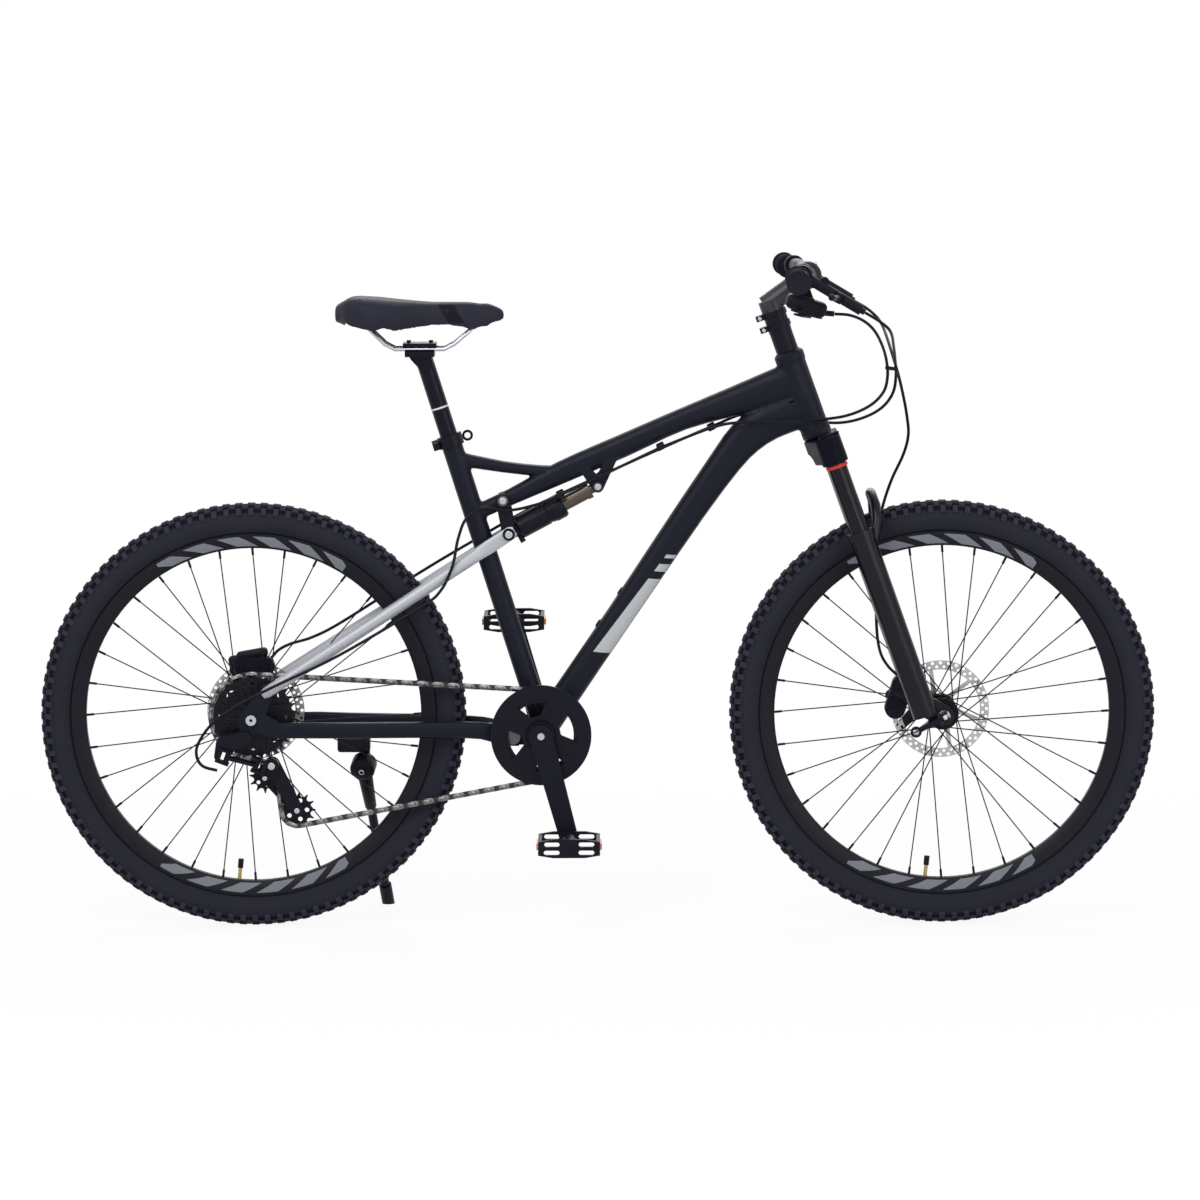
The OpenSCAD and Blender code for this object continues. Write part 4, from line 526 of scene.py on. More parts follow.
def finish_named(name):
    """The finish of that name, made the first time it is asked for."""
    if name in bpy.data.materials:
        return bpy.data.materials[name]
    colours = bpy.context.scene.bike_colours
    black = tuple(colours.black)
    silver = tuple(colours.silver)
    stay_angle = math.atan2(0.2515, 0.3935)
    shock_angle = math.radians(27.8)
    makers = {
        "satin_frame": lambda: frame_finish(name, colours.frame, colours.stripe),
        "anodised_black": lambda: plain_finish(name, black, 0.38, gloss=0.14),
        "gloss_black": lambda: plain_finish(
            name, shade(black, 0.8), 0.24, grain=500.0, depth=0.03, gloss=0.22),
        "forged_black": lambda: plain_finish(name, black, 0.45, gloss=0.06),
        "post_black": lambda: post_finish(name, black, (0.6, 0.6, 0.6)),
        "stanchion_dark": lambda: plain_finish(
            name, (0.004, 0.004, 0.008), 0.1, grain=1500.0, depth=0.02, gloss=0.18),
        "polished_steel": lambda: plain_finish(name, silver, 0.26, 1.0, 1200.0, 0.05, spread=0.08),
        "brushed_stay": lambda: brushed_finish(name, shade(silver, 0.8), 0.46, stay_angle, 0.35),
        "bronze_shaft": lambda: brushed_finish(name, (0.1, 0.085, 0.07), 0.3, shock_angle),
        "bolt_steel": lambda: plain_finish(name, (0.11, 0.11, 0.12), 0.36, 0.9, 1500.0, 0.04),
        "chain_steel": lambda: plain_finish(name, (0.2, 0.2, 0.205), 0.34, 1.0, 1500.0, 0.03),
        "chain_dark": lambda: plain_finish(name, (0.05, 0.05, 0.052), 0.4, 1.0, 1500.0, 0.03),
        "dark_steel": lambda: plain_finish(
            name, (0.014, 0.014, 0.018), 0.34, 0.5, 1500.0, 0.04, gloss=0.15),
        "rotor_steel": lambda: plain_finish(
            name, (0.46, 0.46, 0.47), 0.3, 1.0, 1600.0, 0.1, spread=0.1),
        "stem_grey": lambda: brushed_finish(name, (0.03, 0.031, 0.037), 0.4, 0.0, 0.5),
        "front_tyre_rubber": lambda: tyre_finish(name, colours.rubber, FRONT_AXLE),
        "rear_tyre_rubber": lambda: tyre_finish(name, colours.rubber, REAR_AXLE),
        # The knobs: the tyre rubber half again lighter, a painted highlight on the raised tread
        "knob_rubber_highlight": lambda: rubber_finish(name, shade(colours.rubber, 1.5), 0.6),
        "grip_rubber": lambda: rubber_finish(name, shade(colours.rubber, 0.65), 0.66),
        "hose_skin": lambda: plastic_finish(name, shade(black, 0.9), 0.4),
        "moulded_black": lambda: plastic_finish(name, black),
        "saddle_leather": lambda: leather_finish(name, colours.saddle),
        "saddle_gloss": lambda: plain_finish(
            name, shade(colours.saddle, 0.4), 0.22, grain=800.0, depth=0.05, gloss=0.1),
        "front_rim_black": lambda: rim_finish(name, colours.rim, colours.rim_bars, FRONT_AXLE),
        "rear_rim_black": lambda: rim_finish(name, colours.rim, colours.rim_bars, REAR_AXLE),
        "amber_lens": lambda: lens_finish(name, (0.75, 0.24, 0.03), 0.2),
        "red_ring": lambda: plastic_finish(name, (0.5, 0.03, 0.03), 0.4),
        "brass": lambda: plain_finish(name, (0.45, 0.33, 0.14), 0.34, 1.0),
    }
    return makers[name]()


class BikeColours(bpy.types.PropertyGroup):
    """Colours of the finishes."""

    frame: FloatVectorProperty(
        name="Frame", description="Satin paint of the frame", subtype="COLOR",
        default=(0.0066, 0.0075, 0.0145), min=0, max=1)
    stripe: FloatVectorProperty(
        name="Frame stripe", description="Plain stripe on the down tube", subtype="COLOR",
        default=(0.42, 0.43, 0.44), min=0, max=1)
    black: FloatVectorProperty(
        name="Black parts", description="Black metal and plastic", subtype="COLOR",
        default=(0.0036, 0.0037, 0.0095), min=0, max=1)
    silver: FloatVectorProperty(
        name="Silver parts", description="Seat stays and bolts", subtype="COLOR",
        default=(0.5, 0.51, 0.55), min=0, max=1)
    rubber: FloatVectorProperty(
        name="Rubber", description="Tyres and grips", subtype="COLOR",
        default=(0.0165, 0.017, 0.0255), min=0, max=1)
    saddle: FloatVectorProperty(
        name="Saddle cover", description="Synthetic leather of the saddle", subtype="COLOR",
        default=(0.0165, 0.0172, 0.028), min=0, max=1)
    rim: FloatVectorProperty(
        name="Rims", description="Anodised black of the rims", subtype="COLOR",
        default=(0.0085, 0.0088, 0.013), min=0, max=1)
    rim_bars: FloatVectorProperty(
        name="Rim bars", description="Plain bars on the rims", subtype="COLOR",
        default=(0.17, 0.18, 0.2), min=0, max=1)


class BikeSizes(bpy.types.PropertyGroup):
    """Sizes of the pieces that are modelled here."""

    knobs: IntProperty(
        name="Knobs", description="Knobs round each tyre", default=104, min=60, max=130)
    knob_height: FloatProperty(
        name="Knob height", description="Height of the tread knobs", default=0.0036,
        unit="LENGTH", min=0.002, max=0.005)
    tyre_radius: FloatProperty(
        name="Tyre radius", description="Radius over the knobs", default=0.348,
        unit="LENGTH", min=0.34, max=0.352)
    hose: FloatProperty(
        name="Hose diameter", description="Diameter of the brake hoses", default=0.005,
        unit="LENGTH", min=0.004, max=0.006)
    grip: FloatProperty(
        name="Grip diameter", description="Diameter of the grips over their ribs", default=0.034,
        unit="LENGTH", min=0.03, max=0.037)


# Stage


class BIKE_OT_stage(bpy.types.Operator):
    """Set the floor, the light and the camera"""

    bl_idname = "bike.stage"
    bl_label = "Stage"

    # Name, place, size and power of each lamp
    lamps = (
        ("key", (-1.6, -3.2, 3.6), 2.6, 95.0),
        ("fill", (2.8, -3.4, 2.2), 3.0, 55.0),
        ("back", (0.4, 3.2, 3.2), 3.0, 60.0),
    )
    lamp_target = Vector((0, 0, 0.5))
    camera_target = Vector((0.0044, 0.0, 0.5337))
    camera_distance = 9.0
    camera_rise = math.radians(6.0)
    camera_roll = math.radians(-0.25)

    def execute(self, context):
        context.scene.view_settings.view_transform = "Standard"
        self.add_floor()
        self.light_world(context.scene)
        self.add_lamps()
        self.add_camera(context.scene)
        return {"FINISHED"}

    def add_floor(self):
        """A pale floor with soft shadows near the bike, white further out."""
        floor = settle(add(bpy.ops.mesh.primitive_plane_add, size=80), "floor")
        finish = Finish("pale_floor")
        put(finish.shader, Base_Color=(0.9, 0.9, 0.9, 1), Roughness=0.9)
        reach = finish.node("ShaderNodeVectorMath", operation="LENGTH")
        finish.link(finish.place, reach.inputs[0])
        fade = finish.node("ShaderNodeMapRange", interpolation_type="SMOOTHSTEP")
        put(fade, From_Min=0.9, From_Max=2.6, To_Min=0.9, To_Max=1.0)
        finish.link(reach.outputs["Value"], fade.inputs["Value"])
        share = finish.product(seen_rays(finish.tree), fade.outputs["Result"])
        white = finish.node("ShaderNodeEmission")
        mix_shaders(finish.tree, share, finish.shader, white, "Material Output")
        floor.data.materials.append(finish.material)

    def light_world(self, scene):
        """Soft light on the bike, and white behind it."""
        world = bpy.data.worlds.new("studio")
        scene.world = world
        world.use_nodes = True
        tree = world.node_tree
        soft = put(tree.nodes["Background"], Color=(0.95, 0.97, 1.0, 1), Strength=0.55)
        white = put(tree.nodes.new("ShaderNodeBackground"), Color=(1, 1, 1, 1), Strength=1.0)
        mix_shaders(tree, seen_rays(tree), soft, white, "World Output")

    def add_lamps(self):
        for name, place, size, power in self.lamps:
            bpy.ops.object.light_add(type="AREA", location=place)
            lamp = bpy.context.active_object
            lamp.name = name
            lamp.data.size = size
            lamp.data.energy = power
            way = self.lamp_target - Vector(place)
            lamp.rotation_euler = way.to_track_quat("-Z", "Y").to_euler()

    def add_camera(self, scene):
        away = Vector((0.0, -math.cos(self.camera_rise), math.sin(self.camera_rise)))
        bpy.ops.object.camera_add(location=self.camera_target + self.camera_distance * away)
        camera = bpy.context.active_object
        camera.name = "photo_camera"
        look = (-away).to_track_quat("-Z", "Y")
        roll = Matrix.Rotation(self.camera_roll, 3, "Z").to_quaternion()
        camera.rotation_euler = (look @ roll).to_euler()
        camera.data.sensor_width = 36.0
        camera.data.lens = 165.24
        scene.camera = camera


def mix_shaders(tree, share, first, second, output):
    """Show a share of the second shader over the first."""
    blend = tree.nodes.new("ShaderNodeMixShader")
    for socket, source in zip(blend.inputs, (share, first.outputs[0], second.outputs[0])):
        tree.links.new(source, socket)
    tree.links.new(blend.outputs[0], tree.nodes[output].inputs[0])


def seen_rays(tree):
    """One for rays that the camera sees straight, mirrored or through glass."""
    path = tree.nodes.new("ShaderNodeLightPath")
    total = path.outputs["Is Camera Ray"]
    for name in ("Is Glossy Ray", "Is Transmission Ray"):
        either = tree.nodes.new("ShaderNodeMath")
        either.operation = "MAXIMUM"
        tree.links.new(total, either.inputs[0])
        tree.links.new(path.outputs[name], either.inputs[1])
        total = either.outputs[0]
    return total


# Solids that stay as they are


class BIKE_OT_solids(bpy.types.Operator):
    """Give the metal and plastic solids their finishes"""

    bl_idname = "bike.solids"
    bl_label = "Solids"

    finishes = {
        "satin_frame": ("bottom_bracket", "chain_stays", "dropouts"),
        "anodised_black": (
            "seat_clamp", "seat_clamp_lever", "handlebar", "crank_arms", "chain_guard",
            "kickstand", "derailleur_body", "derailleur_inner_link", "derailleur_outer_link",
            "derailleur_knuckle", "derailleur_cage", "front_hub", "rear_hub", "right_brake_lever",
            "left_brake_lever", "front_qr_lever", "rocker", "shock_can", "right_pedal",
            "left_pedal", "front_spokes", "rear_spokes"),
        "gloss_black": ("fork_lowers",),
        "post_black": ("seatpost",),
        "stanchion_dark": ("stanchions",),
        "moulded_black": (
            "control_bodies", "shift_lever", "front_caliper", "rear_caliper", "guide_pulley",
            "tension_pulley", "saddle_base"),
        "polished_steel": ("rear_axle", "front_skewer"),
        "bolt_steel": ("pivot_bolts",),
        "brushed_stay": ("seat_stays",),
        "bronze_shaft": ("shock_shaft",),
        "dark_steel": ("cassette", "chainring"),
        "rotor_steel": ("front_rotor", "rear_rotor"),
        "front_rim_black": ("front_rim",),
        "rear_rim_black": ("rear_rim",),
        "stem_grey": ("stem",),
    }

    # The travel ring's height and the size of the stanchion in it, radii inside which the rims' solids
    # are nipples and valves, and the pedals' axles along the bike
    ring_height = 0.4435
    ring_core = 0.0163
    nipple_end = 0.2735
    valve_end = 0.2552
    pedal_axles = {"right_pedal": -0.0472, "left_pedal": -0.1378}

    def execute(self, context):
        for finish, names in self.finishes.items():
            for name in names:
                dress(name, finish)
        self.paint_regions()
        return {"FINISHED"}

    def paint_regions(self):
        """Second finishes on the solids that carry two."""
        touch_up("stem", "anodised_black", lambda place: steering_height(place) < STEM_FOOT + 0.038)
        touch_up("stanchions", "red_ring", lambda place: (
            abs(steering_height(place) - self.ring_height) < 0.003 and place.y < 0
            and abs(place.y + 0.065) + abs(steering_reach(place) - 0.012) > self.ring_core))
        self.polish_rails(SOLIDS["saddle_base"].data)
        for name, axle in self.pedal_axles.items():
            touch_up(name, "amber_lens", lambda place: abs(place.x - axle) > 0.05)
        for name, axle in (("front_rim", FRONT_AXLE), ("rear_rim", REAR_AXLE)):
            touch_up(name, "brass", lambda place: around(place, axle) < self.nipple_end)
            touch_up(name, "moulded_black", lambda place: around(place, axle) < self.valve_end)
        touch_up("crank_arms", "polished_steel", lambda place: (
            around(place, CRANK_AXLE) < 0.0059 and abs(place.y) > 0.063))

    def polish_rails(self, mesh):
        """Steel for the saddle's rails, the solids that lie on one side of the middle."""
        mesh.materials.append(finish_named("polished_steel"))
        owner, spans = separate_solids(mesh)
        for face in mesh.polygons:
            low, high = spans[owner[face.vertices[0]]]
            if low * high > 0:
                face.material_index = len(mesh.materials) - 1


def around(place, axle):
    """Distance of a place from a wheel's or the crank's axle line."""
    return math.hypot(place.x - axle.x, place.z - axle.z)


def steering_height(place):
    """Height of a place along the steering axis above the front axle."""
    away = place - FRONT_AXLE
    return away.z * math.cos(HEAD_TILT) - away.x * math.sin(HEAD_TILT)


def steering_reach(place):
    """Distance of a place ahead of the steering axis."""
    away = place - FRONT_AXLE
    return away.x * math.cos(HEAD_TILT) + away.z * math.sin(HEAD_TILT) + RAKE


def touch_up(name, finish, test):
    """Put a second finish on the faces of a solid whose middle passes a test."""
    mesh = SOLIDS[name].data
    mesh.materials.append(finish_named(finish))
    for face in mesh.polygons:
        if test(face.center):
            face.material_index = len(mesh.materials) - 1


def dress(name, finish):
    """Put a finish on a solid and shade it smooth between its edges."""
    solid = SOLIDS[name]
    solid.data.materials.clear()
    solid.data.materials.append(finish_named(finish))
    solid.data.shade_smooth()
    weld = solid.modifiers.new("Weld", "WELD")
    weld.merge_threshold = SAME_POINT
    split = solid.modifiers.new("Edges", "EDGE_SPLIT")
    split.split_angle = math.radians(32)


# Frame


class BIKE_OT_frame(bpy.types.Operator):
    """Blend the tubes of the front triangle into one painted shell"""

    bl_idname = "bike.frame"
    bl_label = "Frame"

    tubes = ("head_tube", "top_tube", "down_tube", "seat_tube")
    # Length of the seat tube in millimetres, face size, and reach of the rounding at the joints
    seat_top = 506.0
    voxel = 0.0022
    joint_reach = 0.016

    def execute(self, context):
        shell = join([copy_solids(self.tubes[:3], "frame_shell"), self.fill_seat_tube()])
        remesh(shell, self.voxel)
        self.mark_joints(shell)
        use_modifier(shell, "SMOOTH", vertex_group="joints", factor=0.5, iterations=24)
        use_modifier(shell, "SMOOTH", factor=0.4, iterations=2)
        top = on_seat(0, 0, self.seat_top)
        way = (top - SEAT_FOOT).normalized()
        pick(shell, lambda place, normal: (place - top).dot(way) > -0.0012 and (
            (place - top).cross(way).length < 0.025), "FACE")
        bpy.ops.mesh.delete(type="FACE")
        object_mode()
        settle(shell, "frame_shell", 60)
        hand_over(shell, "frame", "satin_frame", self.tubes)
        return {"FINISHED"}

    def fill_seat_tube(self):
        """A filled seat tube, so that the joints blend into it; its top is opened afterwards."""
        return add(
            bpy.ops.mesh.primitive_cylinder_add, vertices=64, radius=0.017, depth=self.seat_top * MM,
            location=on_seat(0, 0, self.seat_top / 2), rotation=(0, -SEAT_TILT, 0))

    def mark_joints(self, shell):
        """Weigh every point by how close the second nearest tube is."""
        trees = []
        for name in self.tubes:
            mesh = SOLIDS[name].data
            places = [vertex.co for vertex in mesh.vertices]
            trees.append(BVHTree.FromPolygons(places, [tuple(f.vertices) for f in mesh.polygons]))
        group = shell.vertex_groups.new(name="joints")
        for vertex in shell.data.vertices:
            near = sorted((t.find_nearest(vertex.co, 0.05)[3] or 1.0) for t in trees)
            weight = 1.0 - near[1] / self.joint_reach
            if weight > 0:
                group.add([vertex.index], weight, "REPLACE")


# Fork crown


class BIKE_OT_crown(bpy.types.Operator):
    """Round the forged edges of the fork crown"""

    bl_idname = "bike.crown"
    bl_label = "Crown"

    def execute(self, context):
        crown = copy_solids(("fork_crown",), "forged_crown")
        remesh(crown, 0.0016)
        use_modifier(crown, "SMOOTH", factor=0.5, iterations=9)
        settle(crown, "forged_crown", 70)
        hand_over(crown, "steering", "forged_black", ("fork_crown",))
        return {"FINISHED"}


# Hoses and the shift housing


def smooth_route(points, steps=6):
    """Points along a smooth curve through the given points, in metres."""
    ends = [Vector(p) * MM for p in points]
    ends = [2 * ends[0] - ends[1], *ends, 2 * ends[-1] - ends[-2]]
    route = []
    for a, b, c, d in zip(ends, ends[1:], ends[2:], ends[3:]):
        for k in range(steps):
            t = k / steps
            route.append(0.5 * (
                2 * b + (c - a) * t + (2 * a - 5 * b + 4 * c - d) * t * t
                + (3 * b - a - 3 * c + d) * t ** 3))
    return [*route, ends[-2]]


def make_hose(name, points, width):
    """A round tube along a smooth route, and the route."""
    route = smooth_route(points)
    curve = bpy.data.curves.new(name, "CURVE")
    curve.dimensions = "3D"
    line = curve.splines.new("POLY")
    line.points.add(len(route) - 1)
    for point, place in zip(line.points, route):
        point.co = (*place, 1.0)
    curve.bevel_depth = width / 2
    curve.bevel_resolution = 3
    curve.use_fill_caps = True
    hose = bpy.data.objects.new(name, curve)
    bpy.context.scene.collection.objects.link(hose)
    activate(hose)
    bpy.ops.object.convert(target="MESH")
    return settle(bpy.context.active_object, name, 60), route


class BIKE_OT_hoses(bpy.types.Operator):
    """Lay the brake hoses and the shift housing"""

    bl_idname = "bike.hoses"
    bl_label = "Hoses"

    # Route points in millimetres; the second run of a line starts where the first one ends
    shift_front = (
        (381.3, -144, 1007.2), (406, -144.5, 1005), (429, -136, 995), (447, -112, 978), (461, -74, 953),
        (470, -38, 926), (473, -16, 899), (467, -14, 874), (446, -24, 853), (412, -33, 838),
        (372, -35, 831), (315, -35, 828), (234, -32, 826), (187, -28, 817), (104, -24, 785))
    shift_rear = (
        (104, -24, 785), (-60, -24, 708), (-110, -28, 690), (-148, -31, 684), (-184, -33, 688),
        (-212, -36, 672), (-226, -42, 638), (-235, -51, 595), (-255, -58, 555), (-290, -64, 528),
        (-420, -77, 453), (-530, -92, 402), (-590, -98, 371), (-626, -100, 344), (-648, -100, 312),
        (-650, -98, 290), (-640, -95, 275), (-618, -92, 268))
    brake_front = (
        (428.2, -185, 1011.2), (448, -185, 999.4), (465, -174, 986), (473, -146, 973), (478, -100, 955),
        (483, -50, 932), (487, -10, 901), (483, 8, 870), (465, 18, 845), (434, 25, 828), (395, 30, 820),
        (345, 34, 824), (252, 32, 836), (188, 28, 815), (72, 26, 765))
    brake_rear = (
        (72, 26, 765), (-59, 26, 706), (-120, 32, 676), (-200, 38, 630), (-290, 62, 575),
        (-420, 76, 492), (-470, 80, 466), (-505, 74, 456), (-525, 62, 447), (-536, 51.6, 435.8))
    fork_hose = (
        (428.2, 185, 1011.2), (448, 185, 999.4), (465, 174, 985), (473, 146, 972), (478, 100, 955),
        (484, 52, 931), (492, 14, 900), (500, 14, 866), (507, 32, 832), (511, 57, 798), (504, 78, 764),
        (484, 90, 718), (468, 93, 665), (459, 93, 600), (460, 92, 530), (461, 83, 472), (466, 66, 438),
        (477, 49, 418), (491, 36, 404.8))

    def execute(self, context):
        width = context.scene.bike_sizes.hose
        # Ends of a stretch along each run
        head = ((0.470, 0.0, 0.900), (0.300, 0.0, 0.828))
        housing_tail = ((-0.130, 0.0, 0.690), (-0.240, 0.0, 0.590))
        hose_tail = ((-0.120, 0.0, 0.690), (-0.300, 0.0, 0.540))
        leg = ((0.500, 0.0, 0.800), (0.456, 0.0, 0.560))
        runs = (
            ("shift_housing_front", self.shift_front, "steering", "frame", head, "shift_housing"),
            ("shift_housing_rear", self.shift_rear, "frame", "swingarm", housing_tail, "shift_housing"),
            ("rear_hose_front", self.brake_front, "steering", "frame", head, "rear_brake_hose"),
            ("rear_hose_rear", self.brake_rear, "frame", "swingarm", hose_tail, "rear_brake_hose"),
            ("front_hose", self.fork_hose, "steering", "lowers", leg, "front_brake_hose"),
        )
        for name, points, first, second, (start, end), solid in runs:
            hose, route = make_hose(name, points, width)
            hand_over(hose, None, "hose_skin", (solid,))
            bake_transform(hose)
        return {"FINISHED"}


# Tyres


class BIKE_OT_tyres(bpy.types.Operator):
    """Model the tyres with their rows of knobs"""

    bl_idname = "bike.tyres"
    bl_label = "Tyres"

    # Radius of the carcass, depth of a knob in it and chamfer of a knob
    section = 0.025
    root = 0.001
    chamfer = 0.0013
    # Lean from the middle of the tread in degrees, width and length in millimetres, pitch offset
    rows = ((11, 9, 13, 0.0), (31, 8, 10, 0.5), (54, 13, 9, 0.0))

    def execute(self, context):
        sizes = context.scene.bike_sizes
        for end, axle in (("front", FRONT_AXLE), ("rear", REAR_AXLE)):
            self.make_tyre(end, axle, sizes)
        return {"FINISHED"}

    def make_tyre(self, end, axle, sizes):
        middle = axle + Vector((0, 0, sizes.tyre_radius - sizes.knob_height - self.section))
        carcass = add(
            bpy.ops.mesh.primitive_circle_add, vertices=48, radius=self.section, location=middle,
            rotation=(0, math.pi / 2, 0))
        edit(carcass)
        bpy.ops.mesh.spin(steps=160, angle=2 * math.pi, center=axle, axis=(0, 1, 0))
        object_mode()
        tidy_faces(carcass, 1e-5)
        plain = len(carcass.data.polygons)
        rows = [carcass]
        for row in self.rows:
            for side in (-1, 1):
                rows.append(self.make_row(row, side, middle, axle, sizes))
        tyre = settle(join(rows), f"{end}_tread_tyre", 40)
        hand_over(tyre, f"{end}_wheel", f"{end}_tyre_rubber", (f"{end}_tyre",))
        # The knobs take the lighter copy of the rubber, a painted highlight
        tyre.data.materials.append(finish_named("knob_rubber_highlight"))
        for face in tyre.data.polygons:
            face.material_index = int(face.index >= plain)

    def make_row(self, row, side, middle, axle, sizes):
        """One row of chamfered knobs round a tyre."""
        lean, width, length, offset = row
        turn = math.radians(lean) * side
        out = Vector((0, math.sin(turn), math.cos(turn)))
        height = sizes.knob_height + self.root
        place = middle + out * (self.section + sizes.knob_height - height / 2)
        knob = add(
            bpy.ops.mesh.primitive_cube_add, size=1, location=place, rotation=(-turn, 0, 0),
            scale=(length * MM, width * MM, height))
        bevel_faces(knob, facing(out), self.chamfer, 1)
        edit(knob)
        pitch = 2 * math.pi / sizes.knobs
        bpy.ops.transform.rotate(value=pitch * offset, orient_axis="Y", center_override=axle)
        bpy.ops.mesh.spin(
            steps=sizes.knobs - 1, dupli=True, angle=2 * math.pi - pitch, center=axle,
            axis=(0, 1, 0))
        object_mode()
        return knob


# Chain


class BIKE_OT_chain(bpy.types.Operator):
    """Give the chain its steel finish, with darker narrow links"""

    bl_idname = "bike.chain"
    bl_label = "Chain"

    # Links narrower than this lie between the outer plates
    narrow = 0.0065
    # Ends of the stretch between the chainring and the pulleys
    flex = ((-0.170, 0.0, 0.322), (-0.450, 0.0, 0.340))

    def execute(self, context):
        chain = settle(copy_solids(("chain",), "link_chain"), "link_chain", 32)
        hand_over(chain, None, "chain_steel", ("chain",))
        chain.data.materials.append(finish_named("chain_dark"))
        self.darken_inner_links(chain.data)
        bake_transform(chain)
        return {"FINISHED"}

    def darken_inner_links(self, mesh):
        """Give the narrow links, those between the outer plates, the darker finish."""
        owner, spans = separate_solids(mesh)
        for face in mesh.polygons:
            low, high = spans[owner[face.vertices[0]]]
            face.material_index = int(high - low < self.narrow)


# Saddle


class BIKE_OT_saddle(bpy.types.Operator):
    """Swell the saddle's cushion between its seams"""

    bl_idname = "bike.saddle"
    bl_label = "Saddle"

    # Furthest swelling, face size, stretch of the solid, place of the tail, length, half width of a
    # seam, and frames of the cloth simulation
    cap = 0.005
    voxel = 0.003
    stretch = (0.99, 0.965, 1.17)
    tail = -0.425
    length = 0.277
    seam = 0.0022
    frames = 20

    def execute(self, context):
        cushion = copy_solids(("saddle_pad",), "saddle_cushion")
        low, high = (Vector(corner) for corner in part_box("saddle_pad"))
        fixed = Vector(((low.x + high.x) / 2, 0.0, high.z - 0.018))
        cushion.scale = self.stretch
        cushion.location = [c * (1 - s) for c, s in zip(fixed, cushion.scale)]
        settle(cushion, "saddle_cushion")
        remesh(cushion, self.voxel)
        self.shape(cushion, low.z + 0.012)
        self.swell(context, cushion)
        use_modifier(cushion, "SUBSURF", levels=1, render_levels=1)
        settle(cushion, "saddle_cushion", 75)
        hand_over(cushion, "seat", "saddle_leather", ("saddle_pad",))
        cushion.data.materials.append(finish_named("saddle_gloss"))
        for face in cushion.data.polygons:
            face.material_index = int(self.is_gloss(face.center, face.normal))
        return {"FINISHED"}

    def shape(self, cushion, skirt):
        """Round the cushion above its skirt, then draw out its tail, rim and nose."""
        crest = cushion.vertex_groups.new(name="crest")
        for vertex in cushion.data.vertices:
            if vertex.co.z > skirt:
                crest.add([vertex.index], 1.0, "REPLACE")
        use_modifier(cushion, "SMOOTH", vertex_group="crest", factor=0.5, iterations=5)
        use_modifier(cushion, "SMOOTH", factor=0.5, iterations=4)
        bottom = min(vertex.co.z for vertex in cushion.data.vertices)
        # Top and underside of the tail, the rim, the tail's corner, underside and top of the nose
        self.pull(cushion, lambda place: place.x < -0.4 and place.z > 1.008, 0.007, 0.03)
        self.pull(cushion, lambda place: place.x < -0.36 and place.z < 1.001, -0.009, 0.02)
        self.pull(cushion, lambda place: place.z < bottom + 0.012, -0.007, 0.012)
        self.pull(cushion, lambda place: place.x < -0.416 and place.z < 0.996, 0.012, 0.03)
        self.pull(cushion, lambda place: place.x > -0.154 and place.z < 0.994, 0.011, 0.05)
        self.pull(cushion, lambda place: place.x > -0.156 and place.z > 1.003, -0.004, 0.022)
        use_modifier(cushion, "SMOOTH", factor=0.5, iterations=5)

    def pull(self, cushion, test, rise, reach):
        """Move some points up or down, and their surroundings with them."""
        pick(cushion, test)
        bpy.ops.transform.translate(
            value=(0, 0, rise), use_proportional_edit=True, proportional_size=reach,
            proportional_edit_falloff="SMOOTH")
        object_mode()

    def is_gloss(self, place, normal):
        """The smooth dark band on each flank behind the nose."""
        along = self.along(place) + (place.z - 1.005) * 2.2
        return abs(normal.y) > 0.4 and 0.635 < along < 0.73 and place.z > 0.988

    def along(self, place):
        """Share of the saddle's length from its tail."""
        return (place.x - self.tail) / self.length

    def seam_height(self, along):
        """Height of the side seam at a share of the length from tail to nose."""
        return 1.004 + 0.008 * math.sin(math.pi * along) - 0.012 * max(0.0, along - 0.8)

    def swell(self, context, cushion):
        """Press the cushion outwards while its seams and its hollow stay."""
        held = cushion.vertex_groups.new(name="held")
        for vertex in cushion.data.vertices:
            place = vertex.co
            along = self.along(place)
            half = 0.075 * (1.0 if along < 0.35 else max(0.16, 1.0 - 1.5 * (along - 0.35)))
            channel = abs(abs(place.y) - 0.58 * half) < self.seam and vertex.normal.z > 0.6
            side = abs(place.z - self.seam_height(along)) < self.seam and abs(vertex.normal.y) > 0.4
            under = vertex.normal.z < -0.2
            if channel or side or under:
                held.add([vertex.index], 1.0, "REPLACE")
        start = [vertex.co.copy() for vertex in cushion.data.vertices]
        activate(cushion)
        bpy.ops.object.modifier_add(type="CLOTH")
        cloth = cushion.modifiers[-1]
        cloth.settings.use_pressure = True
        cloth.settings.uniform_pressure_force = 4.0
        cloth.settings.tension_stiffness = 12.0
        cloth.settings.compression_stiffness = 12.0
        cloth.settings.bending_stiffness = 0.4
        cloth.settings.vertex_group_mass = "held"
        cloth.settings.effector_weights.gravity = 0.0
        cloth.point_cache.frame_end = self.frames
        for step in range(self.frames):
            context.scene.frame_set(step + 1)
        bpy.ops.object.modifier_apply(modifier=cloth.name)
        context.scene.frame_set(1)
        for vertex, rest in zip(cushion.data.vertices, start):
            move = vertex.co - rest
            if move.length > self.cap:
                vertex.co = rest + move * (self.cap / move.length)


# Grips


